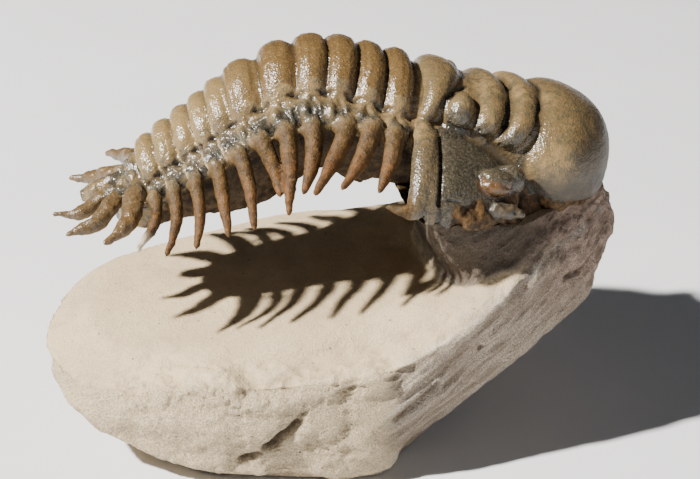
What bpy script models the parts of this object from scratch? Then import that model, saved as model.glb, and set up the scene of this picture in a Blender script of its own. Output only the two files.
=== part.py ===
"""Spiny trilobite fossil arching over the limestone block that holds its head.

Two solids, in metres, +Z up, the block resting on Z = 0:
  trilobite  head shield, eleven thorax segments with free spines, tail shield and the rock
             fill under them, all grown together as one stone piece
  matrix     the limestone block: a nearly level top, a raised neck under the head, an
             undercut right side and a flat underside

The animal's plane of symmetry is the XZ plane and its head points to +X. Shapes are laid out
in millimetres, fused with a voxel remesh, shaped further by moving vertices, and thinned.
"""

import math

import bmesh
import bpy
import numpy as np
from mathutils import Matrix, Vector

MM = 0.001

# Thorax, segment 1 next to the head: the crest of each axial ring in the plane of symmetry.
# The twelfth row is the first ring of the tail shield and the thirteenth its rear part.
CREST = (
    (8.6, 46.9),
    (5.3, 47.9),
    (1.6, 48.9),
    (-2.4, 49.2),
    (-6.8, 48.3),
    (-11.5, 46.0),
    (-14.4, 43.8),
    (-16.6, 42.1),
    (-18.7, 40.4),
    (-21.0, 38.7),
    (-23.2, 36.9),
    (-25.0, 34.8),
    (-26.6, 32.6),
)
PITCH = (-14.0, -12.0, -4.0, 6.0, 16.0, 25.0, 30.5, 33.5, 35.5, 37.0, 39.5, 43.5, 49.0)
SEGMENTS = 11
AXIS_HALF_FRONT = 7.0
AXIS_HALF_BACK = 4.5
ARCH_FRONT = 4.9
ARCH_BACK = 3.4
RING_SWEEP = 1.1  # how far the furrow end of a ring lies behind its crest
FILL_DEPTH_FRONT = 11.8  # depth of the rock fill below the axial furrows
FILL_DEPTH_BACK = 5.4

# Spine of each segment: where it leaves the rib, its middle and its tip, on the +Y side.
SPINES = (
    ((6.6, 11.2, 40.4), (5.7, 14.2, 38.0), (4.0, 17.0, 35.6)),
    ((4.0, 11.0, 41.2), (2.3, 14.0, 38.6), (-0.3, 17.0, 36.2)),
    ((1.0, 10.8, 41.4), (-0.9, 14.0, 38.6), (-3.4, 17.5, 35.9)),
    ((-2.8, 10.3, 41.3), (-3.2, 13.2, 38.4), (-4.6, 16.3, 35.5)),
    ((-5.9, 10.2, 40.9), (-5.8, 13.6, 37.5), (-6.3, 17.4, 33.5)),
    ((-8.8, 9.6, 39.8), (-7.6, 12.0, 37.2), (-7.1, 15.2, 35.0)),
    ((-11.4, 9.4, 38.0), (-10.5, 12.4, 35.1), (-10.2, 16.4, 31.4)),
    ((-14.0, 9.1, 36.2), (-13.5, 12.1, 33.0), (-13.2, 15.9, 30.4)),
    ((-16.6, 8.8, 34.6), (-16.3, 11.8, 31.9), (-17.0, 15.3, 28.8)),
    ((-19.2, 8.5, 33.3), (-19.1, 11.5, 30.8), (-20.5, 14.8, 27.9)),
    ((-21.5, 8.2, 32.6), (-21.5, 11.2, 30.9), (-24.0, 14.2, 28.2)),
)

# Tail shield spines: root, middle and tip on the +Y side, and the half width of each. The third
# pair is broken on the +Y side, where a short blunt stub is left.
TAIL_SPINES = (
    ((-24.0, 6.4, 31.9), (-24.7, 10.8, 30.6), (-27.7, 14.6, 29.6), 1.2),
    ((-26.6, 4.6, 30.6), (-28.6, 7.4, 29.2), (-32.2, 9.0, 28.6), 1.1),
    ((-28.4, 2.3, 30.0), (-30.6, 3.6, 29.0), (-33.9, 3.9, 29.2), 0.9),
)
STUB = ((-28.2, 1.6, 29.9), (-29.4, 2.0, 29.2), (-30.6, 2.2, 28.8), 1.25)
TAIL_MIDDLE = (-23.4, 1.5, 32.6)
TAIL_RINGS = ((12.0, 0.92), (12.85, 0.7), (13.5, 0.5))  # place in the crest table and size

# Head shield, in its own frame: forward from the rear margin, up from the furrow level.
HEAD_ORIGIN = (9.3, 41.6)
HEAD_PITCH = -13.6
HEAD_HALF_WIDTH = 18.9
HEAD_DEPTH = 9.0
CHEEK_REAR = 2.0

# Underside of the head in the plane of symmetry, from its rear margin to its front.
SEAT = ((4.0, 33.5), (21.0, 29.5), (38.0, 30.0))

# Furrows of the head as (forward, lateral, up) lines on the +Y half, with width and depth.
HEAD_FURROWS = (
    (((7.3, 0, 3.2), (7.2, 3.8, 2.7), (7.6, 6.7, 1.7), (7.8, 8.9, 0)), 0.6, 0.8),
    (((7, 2, 3.2), (4.9, 5, 3.5), (3.5, 6.8, 2.6), (3, 7.8, 1), (3.2, 8.3, 0)), 0.55, 0.8),
    (((3.2, 8.2, 0), (5, 8.7, -0.5), (7.9, 8.8, -0.6), (9.3, 9.1, -1.4)), 0.6, 1.0),
    (((9.3, 9.1, -1.4), (13.1, 10.3, -3.1), (14.7, 11.6, -5.6), (14.8, 12.6, -7.2)), 0.6, 1.0),
    (((12.1, 0, 3.5), (11.3, 5.6, 2.7), (10.9, 7.9, 1.2), (10.5, 9.3, -1.3)), 0.6, 0.9),
    (((15.8, 0, 4.3), (15, 6.8, 3.2), (14.1, 9.8, 0.6), (13, 10.3, -2.8)), 0.6, 0.9),
)

# Swollen middle of the head: forward, half width, crest, level of its sides.
GLABELLA = (
    (2.2, 7.0, 2.8, -1.2),
    (4.0, 7.7, 3.9, -1.4),
    (7.0, 8.3, 3.8, -1.7),
    (10.0, 9.0, 3.8, -2.0),
    (13.0, 9.6, 3.5, -2.8),
    (16.0, 10.9, 4.35, -3.4),
    (19.0, 11.5, 4.55, -3.7),
    (21.5, 10.4, 4.0, -3.9),
    (23.7, 8.4, 3.0, -4.0),
    (25.3, 5.9, 1.2, -4.0),
    (26.2, 3.0, -1.3, -4.0),
)

# Bands across it, the rearmost the occipital ring: half width, height, half length at the crest
# and at the ends, thickness, sweep of the ends, place and angle from the crest to an end.
HEAD_BANDS = (
    (7.6, 4.9, (2.6, 1.3), 1.9, 1.9, 3.3, 97.0),
    (8.8, 4.1, (2.35, 2.0), 1.7, 1.5, 9.8, 104.0),
    (9.7, 4.25, (2.1, 1.9), 1.6, 3.1, 14.2, 115.0),
)

# Rear border of the cheek out to the tip of its spine: forward, lateral, up, half width and
# half thickness.
BORDER = (
    (1.4, 6.4, -1.2, 1.1, 1.1),
    (1.5, 8.6, -1.6, 1.5, 1.25),
    (1.5, 11.9, -2.75, 1.6, 1.3),
    (1.4, 15.0, -4.8, 1.6, 1.3),
    (1.2, 16.95, -7.0, 1.5, 1.25),
    (0.2, 18.2, -8.0, 1.1, 0.9),
    (-2.9, 18.0, -8.1, 0.25, 0.25),
)

# Middle (forward, lateral, up) and radii of the small swellings of each half of the head.
BASAL_LOBE = ((5.5, 5.9, 0.4), (2.4, 3.1, 3.0))
EYE = ((10.1, 14.6, -4.3), (1.9, 1.5, 1.4))
EYE_LID = ((10.1, 14.0, -3.5), (2.1, 1.6, 0.95))

CREVICE = ((-5.3, -22.0, 9.6), (-8.5, -21.6, 6.3), (-12.6, -20.8, 3.6))
HOLLOW = ((-8.0, -21.5, 1.6), 1.8, 3.0)  # middle, depth and radius

# Closed outlines of the block from its underside to the top of its neck, sixteen points each,
# starting at the left tip and passing the front, the right end and the back.
OUTLINES = (
    (
        (-24, -3, 0), (-22, -10, 0), (-15, -16.5, 0), (-9, -18.5, 0),
        (0, -19.8, 0), (4.2, -19.4, 0), (5.6, -17, 0), (8, -13, 0),
        (11, -6, 0), (12, 2, 0), (11, 10, 0), (8, 16, 0),
        (0, 18, 0), (-12, 15, 0), (-19, 9, 0), (-23, 3, 0),
    ),
    (
        (-32, -4, 6), (-29, -15.2, 5.3), (-19.6, -19, 2.4), (-13, -20.4, 1.6),
        (-1, -21.2, 1.2), (5.3, -20.8, 1.4), (7.4, -18.9, 4.7), (14.6, -15.8, 7.4),
        (22.5, -11, 11.2), (22, 0, 11), (18, 10, 9), (11, 19, 6),
        (0, 22, 5), (-15, 19, 4.5), (-24, 12, 5), (-29, 4, 6),
    ),
    (
        (-35, -5, 9.2), (-32, -13.8, 7.8), (-21, -19.3, 8), (-13, -21.5, 8),
        (-1, -22.3, 8), (6.2, -21.6, 9), (12.4, -18.8, 10), (23, -14, 13.2),
        (31.2, -8.6, 17.8), (31, 4, 18.5), (24, 15, 14), (13, 23.5, 10.5),
        (-1, 26, 10), (-19, 22, 9), (-27.5, 14, 9.5), (-33, 5, 9.5),
    ),
    (
        (-35.8, -5, 12), (-30.4, -13, 10.4), (-20.4, -18.5, 13), (-12.3, -21, 13.6),
        (-1.3, -22, 14.4), (7.1, -21.5, 15.8), (14.5, -19.4, 19), (22.3, -16.4, 23.4),
        (35.2, -3.6, 24.4), (34, 6, 24.5), (24, 17.5, 20), (12.2, 25.6, 15.2),
        (-1.6, 26.6, 15.2), (-19.8, 21.8, 13.6), (-29.1, 14, 14.1), (-34.2, 5, 13.2),
    ),
    (
        (-30, -4, 14.4), (-26, -10, 14), (-17.5, -14.8, 15), (-10, -16.8, 15.4),
        (0, -17.6, 16), (7.5, -17.8, 17.4), (14.6, -17.2, 20.6), (22.4, -15.4, 25),
        (34, -3.5, 28), (32, 7.5, 27.5), (21, 16, 22), (10.5, 20.5, 17),
        (-2, 21.5, 16.6), (-17, 17.5, 15.6), (-25, 11, 15.2), (-29.5, 4, 14.8),
    ),
    (
        (12.8, -1, 19.3), (13.4, -5, 19.7), (14, -8.4, 20.2), (14.8, -11, 21),
        (15.8, -12.8, 21.9), (17, -13.8, 22.9), (19.2, -14.4, 24.6), (23.4, -13.8, 26.4),
        (33.4, -3.4, 29.2), (31.6, 6.4, 28.6), (22, 13, 25.5), (16, 14.2, 23),
        (13.4, 13.4, 21.8), (12.6, 10.5, 20.8), (12.4, 7, 20), (12.5, 3, 19.4),
    ),
    (
        (11.4, -1, 26), (11.3, -6, 26), (11.4, -10.6, 26.4), (12, -13.6, 27),
        (13.2, -15.2, 27.4), (15, -15.7, 27.6), (18, -15.4, 27.8), (22.8, -13.6, 28.4),
        (32.7, -3.2, 29.6), (31, 5.6, 29.4), (22, 13, 28.2), (16.4, 15, 27.4),
        (13.6, 14.4, 26.8), (12.6, 11, 26.4), (11.8, 6, 26), (11.3, 2, 26),
    ),
    (
        (11, -1, 33), (10.7, -6, 33), (10.4, -12, 33), (10.7, -15.6, 33),
        (11.9, -17.2, 33), (14, -17.2, 33), (18, -15.8, 33), (22.8, -13, 33),
        (32.4, -3, 33), (30.6, 5, 33), (22, 13, 33), (16.6, 16, 33),
        (13.6, 16, 33), (12.4, 12, 33), (11.6, 6, 33), (11.2, 2, 33),
    ),
)

TRILOBITE_VOXEL = 0.4
MATRIX_VOXEL = 0.7
TRILOBITE_TRIANGLES = 7100
MATRIX_TRIANGLES = 2600
MIDDLE = (-0.05, -2.25, 0.0)  # move that puts the middle of the whole's footprint on the Z axis
CONTACT_GAP = 0.4  # between the underside of the head and the neck of the block


def lerp(a, b, t):
    return a + (b - a) * t


def smooth(t):
    t = min(max(t, 0.0), 1.0)
    return t * t * (3.0 - 2.0 * t)


def spline(a, b, c, d, t):
    """The point at t on the Catmull-Rom curve from b to c."""
    line = 2 * b + (c - a) * t
    bend = (2 * a - 5 * b + 4 * c - d) * t * t + (3 * b - a - 3 * c + d) * t**3
    return 0.5 * (line + bend)


def along(table, u):
    """The value at segment number u of a table that has one row a segment, carried straight on
    past both ends."""
    rows = [np.atleast_1d(np.array(row, float)) for row in table]
    last = len(rows) - 1
    t = u - 1.0
    if t <= 0.0:
        return rows[0] + (rows[1] - rows[0]) * t
    if t >= last:
        return rows[last] + (rows[last] - rows[last - 1]) * (t - last)
    k = int(t)
    t -= k
    b, c = rows[k], rows[k + 1]
    a = rows[k - 1] if k > 0 else 2 * b - c
    d = rows[k + 2] if k + 2 <= last else 2 * c - b
    return spline(a, b, c, d, t)


def upright(x, z, degrees):
    """(origin, headward, lateral, dorsal) of a frame tilted in the plane of symmetry."""
    a = math.radians(degrees)
    return (
        Vector((x, 0.0, z)),
        Vector((math.cos(a), 0.0, math.sin(a))),
        Vector((0.0, 1.0, 0.0)),
        Vector((-math.sin(a), 0.0, math.cos(a))),
    )


def axis_half(u):
    return lerp(AXIS_HALF_FRONT, AXIS_HALF_BACK, (u - 1.0) / (SEGMENTS - 1.0))


def arch_height(u):
    return lerp(ARCH_FRONT, ARCH_BACK, (u - 1.0) / (SEGMENTS - 1.0))


def ring_frame(u):
    """Frame of the cross-section at segment number u, at the level of the axial furrows."""
    x, z = along(CREST, u)
    degrees = float(along(PITCH, u)[0])
    frame = upright(float(x), float(z), degrees)
    return (frame[0] - frame[3] * arch_height(u), *frame[1:])


def crest_spacing(u):
    """Half the distance between the crests on both sides of segment number u."""
    return float(np.linalg.norm(along(CREST, u + 1.0) - along(CREST, u - 1.0))) / 2.0


def head_frame():
    return upright(*HEAD_ORIGIN, HEAD_PITCH)


def seat_height(x):
    """Height of the underside of the head at X = x."""
    rear, middle, front = SEAT
    a, b = (rear, middle) if x < middle[0] else (middle, front)
    return lerp(a[1], b[1], (x - a[0]) / (b[0] - a[0]))


def place(frame, forward, lateral, up):
    origin, f, s, n = frame
    return origin + f * forward + s * lateral + n * up


def curve_through(points, count):
    """count points, evenly spread, on a Catmull-Rom curve through the given tuples."""
    rows = [np.array(p, float) for p in points]
    rows = [2 * rows[0] - rows[1], *rows, 2 * rows[-1] - rows[-2]]
    spans = len(points) - 1
    found = []
    for i in range(count):
        t = spans * i / (count - 1)
        k = min(int(t), spans - 1)
        t -= k
        found.append(spline(*rows[k : k + 4], t))
    return found


def add_loft(mesh, loops):
    """A closed body through loops of equal length, with a point closing each end."""
    rings = [[mesh.verts.new(p) for p in loop] for loop in loops]
    count = len(rings[0])
    for a, b in zip(rings, rings[1:]):
        for i in range(count):
            j = (i + 1) % count
            mesh.faces.new((a[i], a[j], b[j], b[i]))
    for ring, flip in ((rings[0], True), (rings[-1], False)):
        middle = mesh.verts.new(sum((v.co for v in ring), Vector()) / count)
        for i in range(count):
            j = (i + 1) % count
            mesh.faces.new((ring[j], ring[i], middle) if flip else (ring[i], ring[j], middle))


def section(centre, wide, out, half_wide, half_out, count, power=2.0):
    """A superellipse loop round centre, in the plane of the two directions."""
    loop = []
    for i in range(count):
        a = 2 * math.pi * i / count
        c, s = math.cos(a), math.sin(a)
        c = math.copysign(abs(c) ** (2 / power), c)
        s = math.copysign(abs(s) ** (2 / power), s)
        loop.append(centre + wide * (half_wide * c) + out * (half_out * s))
    return loop


def add_arch(mesh, frame, half, height, length, thickness, sweep, forward=0.0, reach=97.0):
    """A barrel-shaped band over the back, its half length given at the crest and at its ends."""
    loops = []
    stations = 25
    for i in range(stations):
        t = 2.0 * i / (stations - 1) - 1.0
        a = math.radians(reach) * t
        y = (half - 0.75 * thickness) * math.sin(a)
        n = (height - thickness) * math.cos(a)
        out = (frame[2] * (math.sin(a) * height) + frame[3] * (math.cos(a) * half)).normalized()
        end = math.sqrt(max(0.02, 1.0 - max(0.0, (abs(t) - 0.84) / 0.16) ** 2.2))
        side = smooth(abs(t) * 1.1)
        centre = place(frame, forward - sweep * abs(t) ** 2.0, y, n)
        wide = lerp(length[0], length[1], side) * end
        loops.append(section(centre, frame[1], out, wide, thickness * end, 16, 2.3))
    add_loft(mesh, loops)


def add_rib(mesh, hint, points, stations=22, sides=(-1.0, 1.0)):
    """A tapering limb through points (x, y, z, half width, half thickness), given on the +Y
    side. Its width lies along the hint direction as far as it can."""
    rows = curve_through(points, stations)
    for side in sides:
        loops = []
        turn = Vector((1.0, side, 1.0))
        for i, row in enumerate(rows):
            run = rows[min(i + 1, stations - 1)][:3] - rows[max(i - 1, 0)][:3]
            across = (Vector(run) * turn).normalized()
            out = hint.cross(across).normalized()
            wide = across.cross(out).normalized()
            end = 0.35 if i in (0, stations - 1) else 1.0
            centre = Vector(row[:3]) * turn
            loops.append(section(centre, wide, out, row[3] * end, row[4] * end, 12, 2.1))
        add_loft(mesh, loops)


def cut_flat(mesh, point, normal):
    """Removes what lies beyond a plane and closes the cut with a flat face."""
    cut = bmesh.ops.bisect_plane(
        mesh,
        geom=mesh.verts[:] + mesh.edges[:] + mesh.faces[:],
        plane_co=point,
        plane_no=normal,
        clear_outer=True,
    )
    edges = [e for e in cut["geom_cut"] if isinstance(e, bmesh.types.BMEdge)]
    bmesh.ops.holes_fill(mesh, edges=edges)


def add_copy(mesh, other):
    """Adds the other mesh's faces to this one and frees the other."""
    data = bpy.data.meshes.new("copy")
    other.to_mesh(data)
    other.free()
    mesh.from_mesh(data)
    bpy.data.meshes.remove(data)


def add_ball(mesh, centre, axes, radii, detail=3):
    """An ellipsoid with its radii along three directions."""
    made = bmesh.ops.create_icosphere(mesh, subdivisions=detail, radius=1.0)
    for v in made["verts"]:
        x, y, z = v.co
        v.co = centre + axes[0] * (radii[0] * x) + axes[1] * (radii[1] * y) + axes[2] * (radii[2] * z)


def ribs_of(u):
    """Points of the rib and spine of segment u on the +Y side, from the axial furrow out."""
    frame = ring_frame(u)
    half = axis_half(u)
    size = lerp(1.0, 0.72, smooth((u - 3.0) / 8.0))
    root, middle, tip = SPINES[int(u) - 1]
    back = RING_SWEEP * min(1.0, (u - 1.0) / 2.0)
    inner = [
        (*place(frame, -back, half - 1.4, -1.5), 1.3 * size, 1.0 * size),
        (*place(frame, -back, half + 0.2, -1.9), 1.4 * size, 1.1 * size),
    ]
    a, b = Vector(inner[1][:3]), Vector(root)
    inner.append((*a.lerp(b, 0.5), 1.4 * size, 1.25 * size))
    inner.append((*root, 1.25 * size, 1.15 * size))
    inner.append((*middle, 1.0 * size, 1.0 * size))
    inner.append((*tip, 0.4, 0.38))
    return frame, inner, back, size


def add_segment(mesh, u):
    """Thorax segment u: axial ring, half ring in front of it, ribs with a swelling beside the
    ring and ending in spines."""
    frame, points, back, size = ribs_of(u)
    half, height = axis_half(u), arch_height(u)
    length = crest_spacing(u)
    beside = max(u - 1.0, 1.0), min(u + 1.0, SEGMENTS)
    ends = [ring_frame(v)[0] for v in beside]
    low = (ends[0] - ends[1]).length / (beside[1] - beside[0])
    thick = 1.35 * size + 0.25
    add_arch(mesh, frame, half, height, (0.49 * min(length, 4.3), 0.47 * low), thick, back)
    add_arch(mesh, frame, half - 1.0, height - 1.3, (0.9, 0.6), 1.0, back * 0.6, 0.6 * length)
    add_rib(mesh, frame[1], points)
    for side in (-1.0, 1.0):
        centre = place(frame, -back, side * (half + 0.4 + 1.7 * size), -2.2)
        add_ball(mesh, centre, frame[1:], (1.65 * size, 1.7 * size, 1.7 * size), 2)


def add_fill(mesh):
    """The rock fill under the shields, from inside the head to the tail."""
    loops = []
    count = 24
    for i in range(27):
        u = lerp(-0.9, 14.0, i / 26.0)
        frame = ring_frame(u)
        v = min(max(u, 1.0), 13.5)
        half, height = axis_half(v), arch_height(v)
        top = height - 1.7
        wide = half + 2.3
        deep = lerp(FILL_DEPTH_FRONT, FILL_DEPTH_BACK, smooth((v - 7.8) / 5.4))
        end = math.sqrt(max(0.05, 1.0 - max(0.0, (u - 12.4) / 1.7) ** 2))
        back = -RING_SWEEP * min(1.0, max(0.0, (v - 1.0) / 2.0))
        loop = []
        for k in range(count):
            a = 2 * math.pi * k / count
            c, s = math.cos(a), math.sin(a)
            y = wide * math.copysign(abs(c) ** (1.0 if s >= 0.0 else 0.75), c)
            beside = min(1.0, abs(y) / half)
            if s >= 0.0:
                n = (top + 1.3) * math.sqrt(1.0 - beside**2) - 1.3
            else:
                n = -1.3 - (deep - 1.3) * abs(s) ** 0.9
            point = place(frame, back * beside**2, y * end, n * end)
            if point.x > SEAT[0][0]:
                point.z = max(point.z, seat_height(point.x) + 0.1)
            loop.append(point)
        loops.append(loop)
    add_loft(mesh, loops)


def add_tail(mesh):
    """Tail shield: short axial rings, a plate, three pairs of spines and a median stub."""
    for u, size in TAIL_RINGS:
        frame = ring_frame(u)
        add_arch(mesh, frame, 4.3 * size, 3.1 * size, (1.15, 0.9), 1.1, 0.8)
    plate = ring_frame(12.6)
    add_ball(mesh, place(plate, -0.9, 0.0, -1.6), plate[1:], (4.0, 6.4, 1.9))
    for row in TAIL_SPINES:
        add_tail_spine(mesh, row, (-1.0,) if row is TAIL_SPINES[-1] else (-1.0, 1.0))
    add_tail_spine(mesh, STUB, (1.0,))


def add_tail_spine(mesh, row, sides):
    root, middle, tip, width = row
    hint = Vector((-0.5, 0.85, -0.2))
    start = Vector(TAIL_MIDDLE).lerp(Vector(root), 0.45)
    blunt = 0.75 if row is STUB else 0.28
    points = (
        (*start, width * 0.9, width * 0.8),
        (*root, width * 1.15, width * 0.95),
        (*middle, width * 0.95, width * 0.9),
        (*tip, blunt, blunt),
    )
    add_rib(mesh, hint, points, 18, sides)


def add_glabella(mesh, frame):
    """The swollen middle of the head."""
    loops = []
    count = 32
    for f, half, top, level in curve_through(GLABELLA, 30):
        loop = []
        for k in range(count):
            a = 2 * math.pi * k / count
            c, s = math.cos(a), math.sin(a)
            y = half * math.copysign(abs(c) ** 0.92, c)
            reach = top - level if s >= 0.0 else 7.0 * half / 11.0
            n = level + reach * math.copysign(abs(s) ** 0.92, s)
            loop.append(place(frame, f, y, n))
        loops.append(loop)
    add_loft(mesh, loops)


def add_head(mesh):
    """Head shield: cheeks, glabella, basal lobes, occipital ring, border, eyes, genal spines."""
    frame = head_frame()
    axes = frame[1:]
    cheeks = bmesh.new()
    add_ball(cheeks, place(frame, 0.5, 0.0, -HEAD_DEPTH), axes, (20.0, HEAD_HALF_WIDTH, 9.3), 5)
    cut_flat(cheeks, place(frame, CHEEK_REAR, 0.0, 0.0), -axes[0])
    add_copy(mesh, cheeks)
    add_glabella(mesh, frame)
    for row in HEAD_BANDS:
        add_arch(mesh, frame, *row)
    add_rib(mesh, frame[1], [(*place(frame, *row[:3]), *row[3:]) for row in BORDER], 26)
    for side in (-1.0, 1.0):
        for (forward, lateral, up), radii in (BASAL_LOBE, EYE, EYE_LID):
            add_ball(mesh, place(frame, forward, side * lateral, up), axes, radii)


def object_of(mesh, name):
    data = bpy.data.meshes.new(name)
    bmesh.ops.recalc_face_normals(mesh, faces=mesh.faces[:])
    mesh.to_mesh(data)
    mesh.free()
    made = bpy.data.objects.new(name, data)
    bpy.context.scene.collection.objects.link(made)
    return made


def apply_modifiers(made):
    """Replaces the object's mesh by what its modifiers make of it."""
    graph = bpy.context.evaluated_depsgraph_get()
    data = bpy.data.meshes.new_from_object(made.evaluated_get(graph))
    made.modifiers.clear()
    old = made.data
    made.data = data
    bpy.data.meshes.remove(old)


def keep_largest(made):
    """Drops every separate shell but the one with the most faces, sealed hollows too."""
    mesh = bmesh.new()
    mesh.from_mesh(made.data)
    left = set(mesh.verts)
    shells = []
    while left:
        shell = [left.pop()]
        for v in shell:
            for edge in v.link_edges:
                other = edge.other_vert(v)
                if other in left:
                    left.remove(other)
                    shell.append(other)
        shells.append(shell)
    shells.sort(key=len)
    for shell in shells[:-1]:
        bmesh.ops.delete(mesh, geom=shell, context="VERTS")
    mesh.to_mesh(made.data)
    mesh.free()


def fuse(made, voxel, rounds):
    """Joins overlapping bodies into one skin of about that grain and relaxes it a little."""
    remesh = made.modifiers.new("fuse", "REMESH")
    remesh.mode = "VOXEL"
    remesh.voxel_size = voxel
    relax = made.modifiers.new("relax", "SMOOTH")
    relax.factor = 0.5
    relax.iterations = rounds
    apply_modifiers(made)
    keep_largest(made)


def thin(made, triangles):
    """Collapses edges until about that many triangles are left."""
    made.data.update()
    count = sum(len(p.vertices) - 2 for p in made.data.polygons)
    reduce = made.modifiers.new("thin", "DECIMATE")
    reduce.ratio = triangles / count
    apply_modifiers(made)


def coordinates(data):
    co = np.zeros(len(data.vertices) * 3)
    data.vertices.foreach_get("co", co)
    return co.reshape(-1, 3)


def normals(data):
    found = np.zeros(len(data.vertices) * 3)
    data.vertex_normals.foreach_get("vector", found)
    return found.reshape(-1, 3)


def store(data, co):
    data.vertices.foreach_set("co", co.astype(np.float32).ravel())
    data.update()


def groove(distance, width):
    return np.exp(-((distance / width) ** 2))


def seat_block(drop):
    """Everything above the seat of the head, lowered by drop, as a prism across the animal."""
    (x0, z0), (x1, z1), (x2, z2) = SEAT
    slope = (z1 - z0) / (x1 - x0)
    corners = (
        (x0 - 12.0, z0 - 12.0 * slope - drop),
        (x1, z1 - drop),
        (x2 + 4.0, z2 - drop),
        (x2 + 4.0, 70.0),
        (x0 - 12.0, 70.0),
    )
    mesh = bmesh.new()
    near = [mesh.verts.new((x, -40.0, z)) for x, z in corners]
    far = [mesh.verts.new((x, 40.0, z)) for x, z in corners]
    mesh.faces.new(near)
    mesh.faces.new(list(reversed(far)))
    for i in range(len(corners)):
        j = (i + 1) % len(corners)
        mesh.faces.new((near[i], far[i], far[j], near[j]))
    return object_of(mesh, "seat")


def combine(made, other, operation):
    """Boolean of two closed bodies, which uses up the second."""
    cut = made.modifiers.new("cut", "BOOLEAN")
    cut.operation = operation
    cut.object = other
    cut.solver = "EXACT"
    apply_modifiers(made)
    bpy.data.objects.remove(other)


def head():
    """The head shield, cut to its seat underneath."""
    mesh = bmesh.new()
    add_head(mesh)
    made = object_of(mesh, "head")
    fuse(made, TRILOBITE_VOXEL, 1)
    combine(made, seat_block(0.0), "INTERSECT")
    return made


def distance_to(points, line):
    """Distance from each point to a polyline."""
    best = np.full(len(points), np.inf)
    for a, b in zip(line, line[1:]):
        a, b = np.array(a, float), np.array(b, float)
        way = b - a
        t = np.clip((points - a) @ way / (way @ way), 0.0, 1.0)
        best = np.minimum(best, np.linalg.norm(points - (a + t[:, None] * way), axis=1))
    return best


def carve_head(made):
    """Sinks the furrow behind the cheeks and those that cross the glabella."""
    co, out = coordinates(made.data), normals(made.data)
    origin, f, s, n = (np.array(v) for v in head_frame())
    local = co - origin
    x, y, z = local @ f, np.abs(local @ s), local @ n
    mirrored = np.stack([x, y, z], axis=1)
    depth = 0.8 * groove(x - 3.15, 0.5) * (y > 8.4) * (y < 18.0) * (z > -7.4)
    for line, width, deep in HEAD_FURROWS:
        depth = np.maximum(depth, deep * groove(distance_to(mirrored, line), width))
    store(made.data, co - out * depth[:, None])


def trilobite():
    mesh = bmesh.new()
    for i in range(SEGMENTS):
        add_segment(mesh, i + 1.0)
    add_fill(mesh)
    add_tail(mesh)
    shield = head()
    mesh.from_mesh(shield.data)
    bpy.data.objects.remove(shield)
    made = object_of(mesh, "trilobite")
    fuse(made, TRILOBITE_VOXEL, 2)
    carve_head(made)
    thin(made, TRILOBITE_TRIANGLES)
    return made


def closed_curve(points, count):
    """count points evenly spread on a closed Catmull-Rom curve."""
    rows = [np.array(p, float) for p in points]
    total = len(rows)
    found = []
    for i in range(count):
        t = total * i / count
        k = int(t)
        t -= k
        found.append(spline(*(rows[(k + j - 1) % total] for j in range(4)), t))
    return found


def carve_matrix(made):
    """Opens the crevice and the chipped hollow low on the front of the block."""
    co, out = coordinates(made.data), normals(made.data)
    depth = 1.5 * groove(distance_to(co, CREVICE), 0.9)
    depth += HOLLOW[1] * groove(np.linalg.norm(co - np.array(HOLLOW[0]), axis=1), HOLLOW[2])
    store(made.data, co - out * depth[:, None])


def matrix():
    mesh = bmesh.new()
    foot = [[(x, y, -2.0) for x, y, z in OUTLINES[0]]]
    loops = foot + list(OUTLINES)
    add_loft(mesh, [[Vector(p) for p in closed_curve(loop, 48)] for loop in loops])
    made = object_of(mesh, "matrix")
    fuse(made, MATRIX_VOXEL, 3)
    carve_matrix(made)
    block = bmesh.new()
    block.from_mesh(made.data)
    cut_flat(block, Vector(), Vector((0.0, 0.0, -1.0)))
    block.to_mesh(made.data)
    block.free()
    combine(made, seat_block(CONTACT_GAP), "DIFFERENCE")
    thin(made, MATRIX_TRIANGLES)
    co = coordinates(made.data)
    co[co[:, 2] < 0.15, 2] = 0.0
    store(made.data, co)
    return made


def coat(made, colour, roughness):
    material = bpy.data.materials.new(made.name)
    material.use_nodes = True
    shader = material.node_tree.nodes["Principled BSDF"]
    shader.inputs["Base Color"].default_value = (*colour, 1.0)
    shader.inputs["Roughness"].default_value = roughness
    shader.inputs["Metallic"].default_value = 0.0
    made.data.materials.clear()
    made.data.materials.append(material)


def main():
    for old in list(bpy.data.objects):
        bpy.data.objects.remove(old)
    fossil = trilobite()
    block = matrix()
    for made in (fossil, block):
        made.data.transform(Matrix.Scale(MM, 4) @ Matrix.Translation(MIDDLE))
        made.data.shade_smooth()
        made.data.set_sharp_from_angle(angle=math.radians(35.0))
    coat(fossil, (0.26, 0.19, 0.1), 0.35)
    coat(block, (0.6, 0.55, 0.47), 0.9)


main()
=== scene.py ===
"""Spiny trilobite fossil on its limestone block: fine surfaces, materials, floor, light, camera.

Shapes are laid out in millimetres in the animal's own frame, with its plane of symmetry in XZ
and its head towards +X, and are moved into the frame of the solids at the end.
"""

import math

import bmesh
import bpy
import numpy as np
from mathutils import Matrix, Vector


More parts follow.
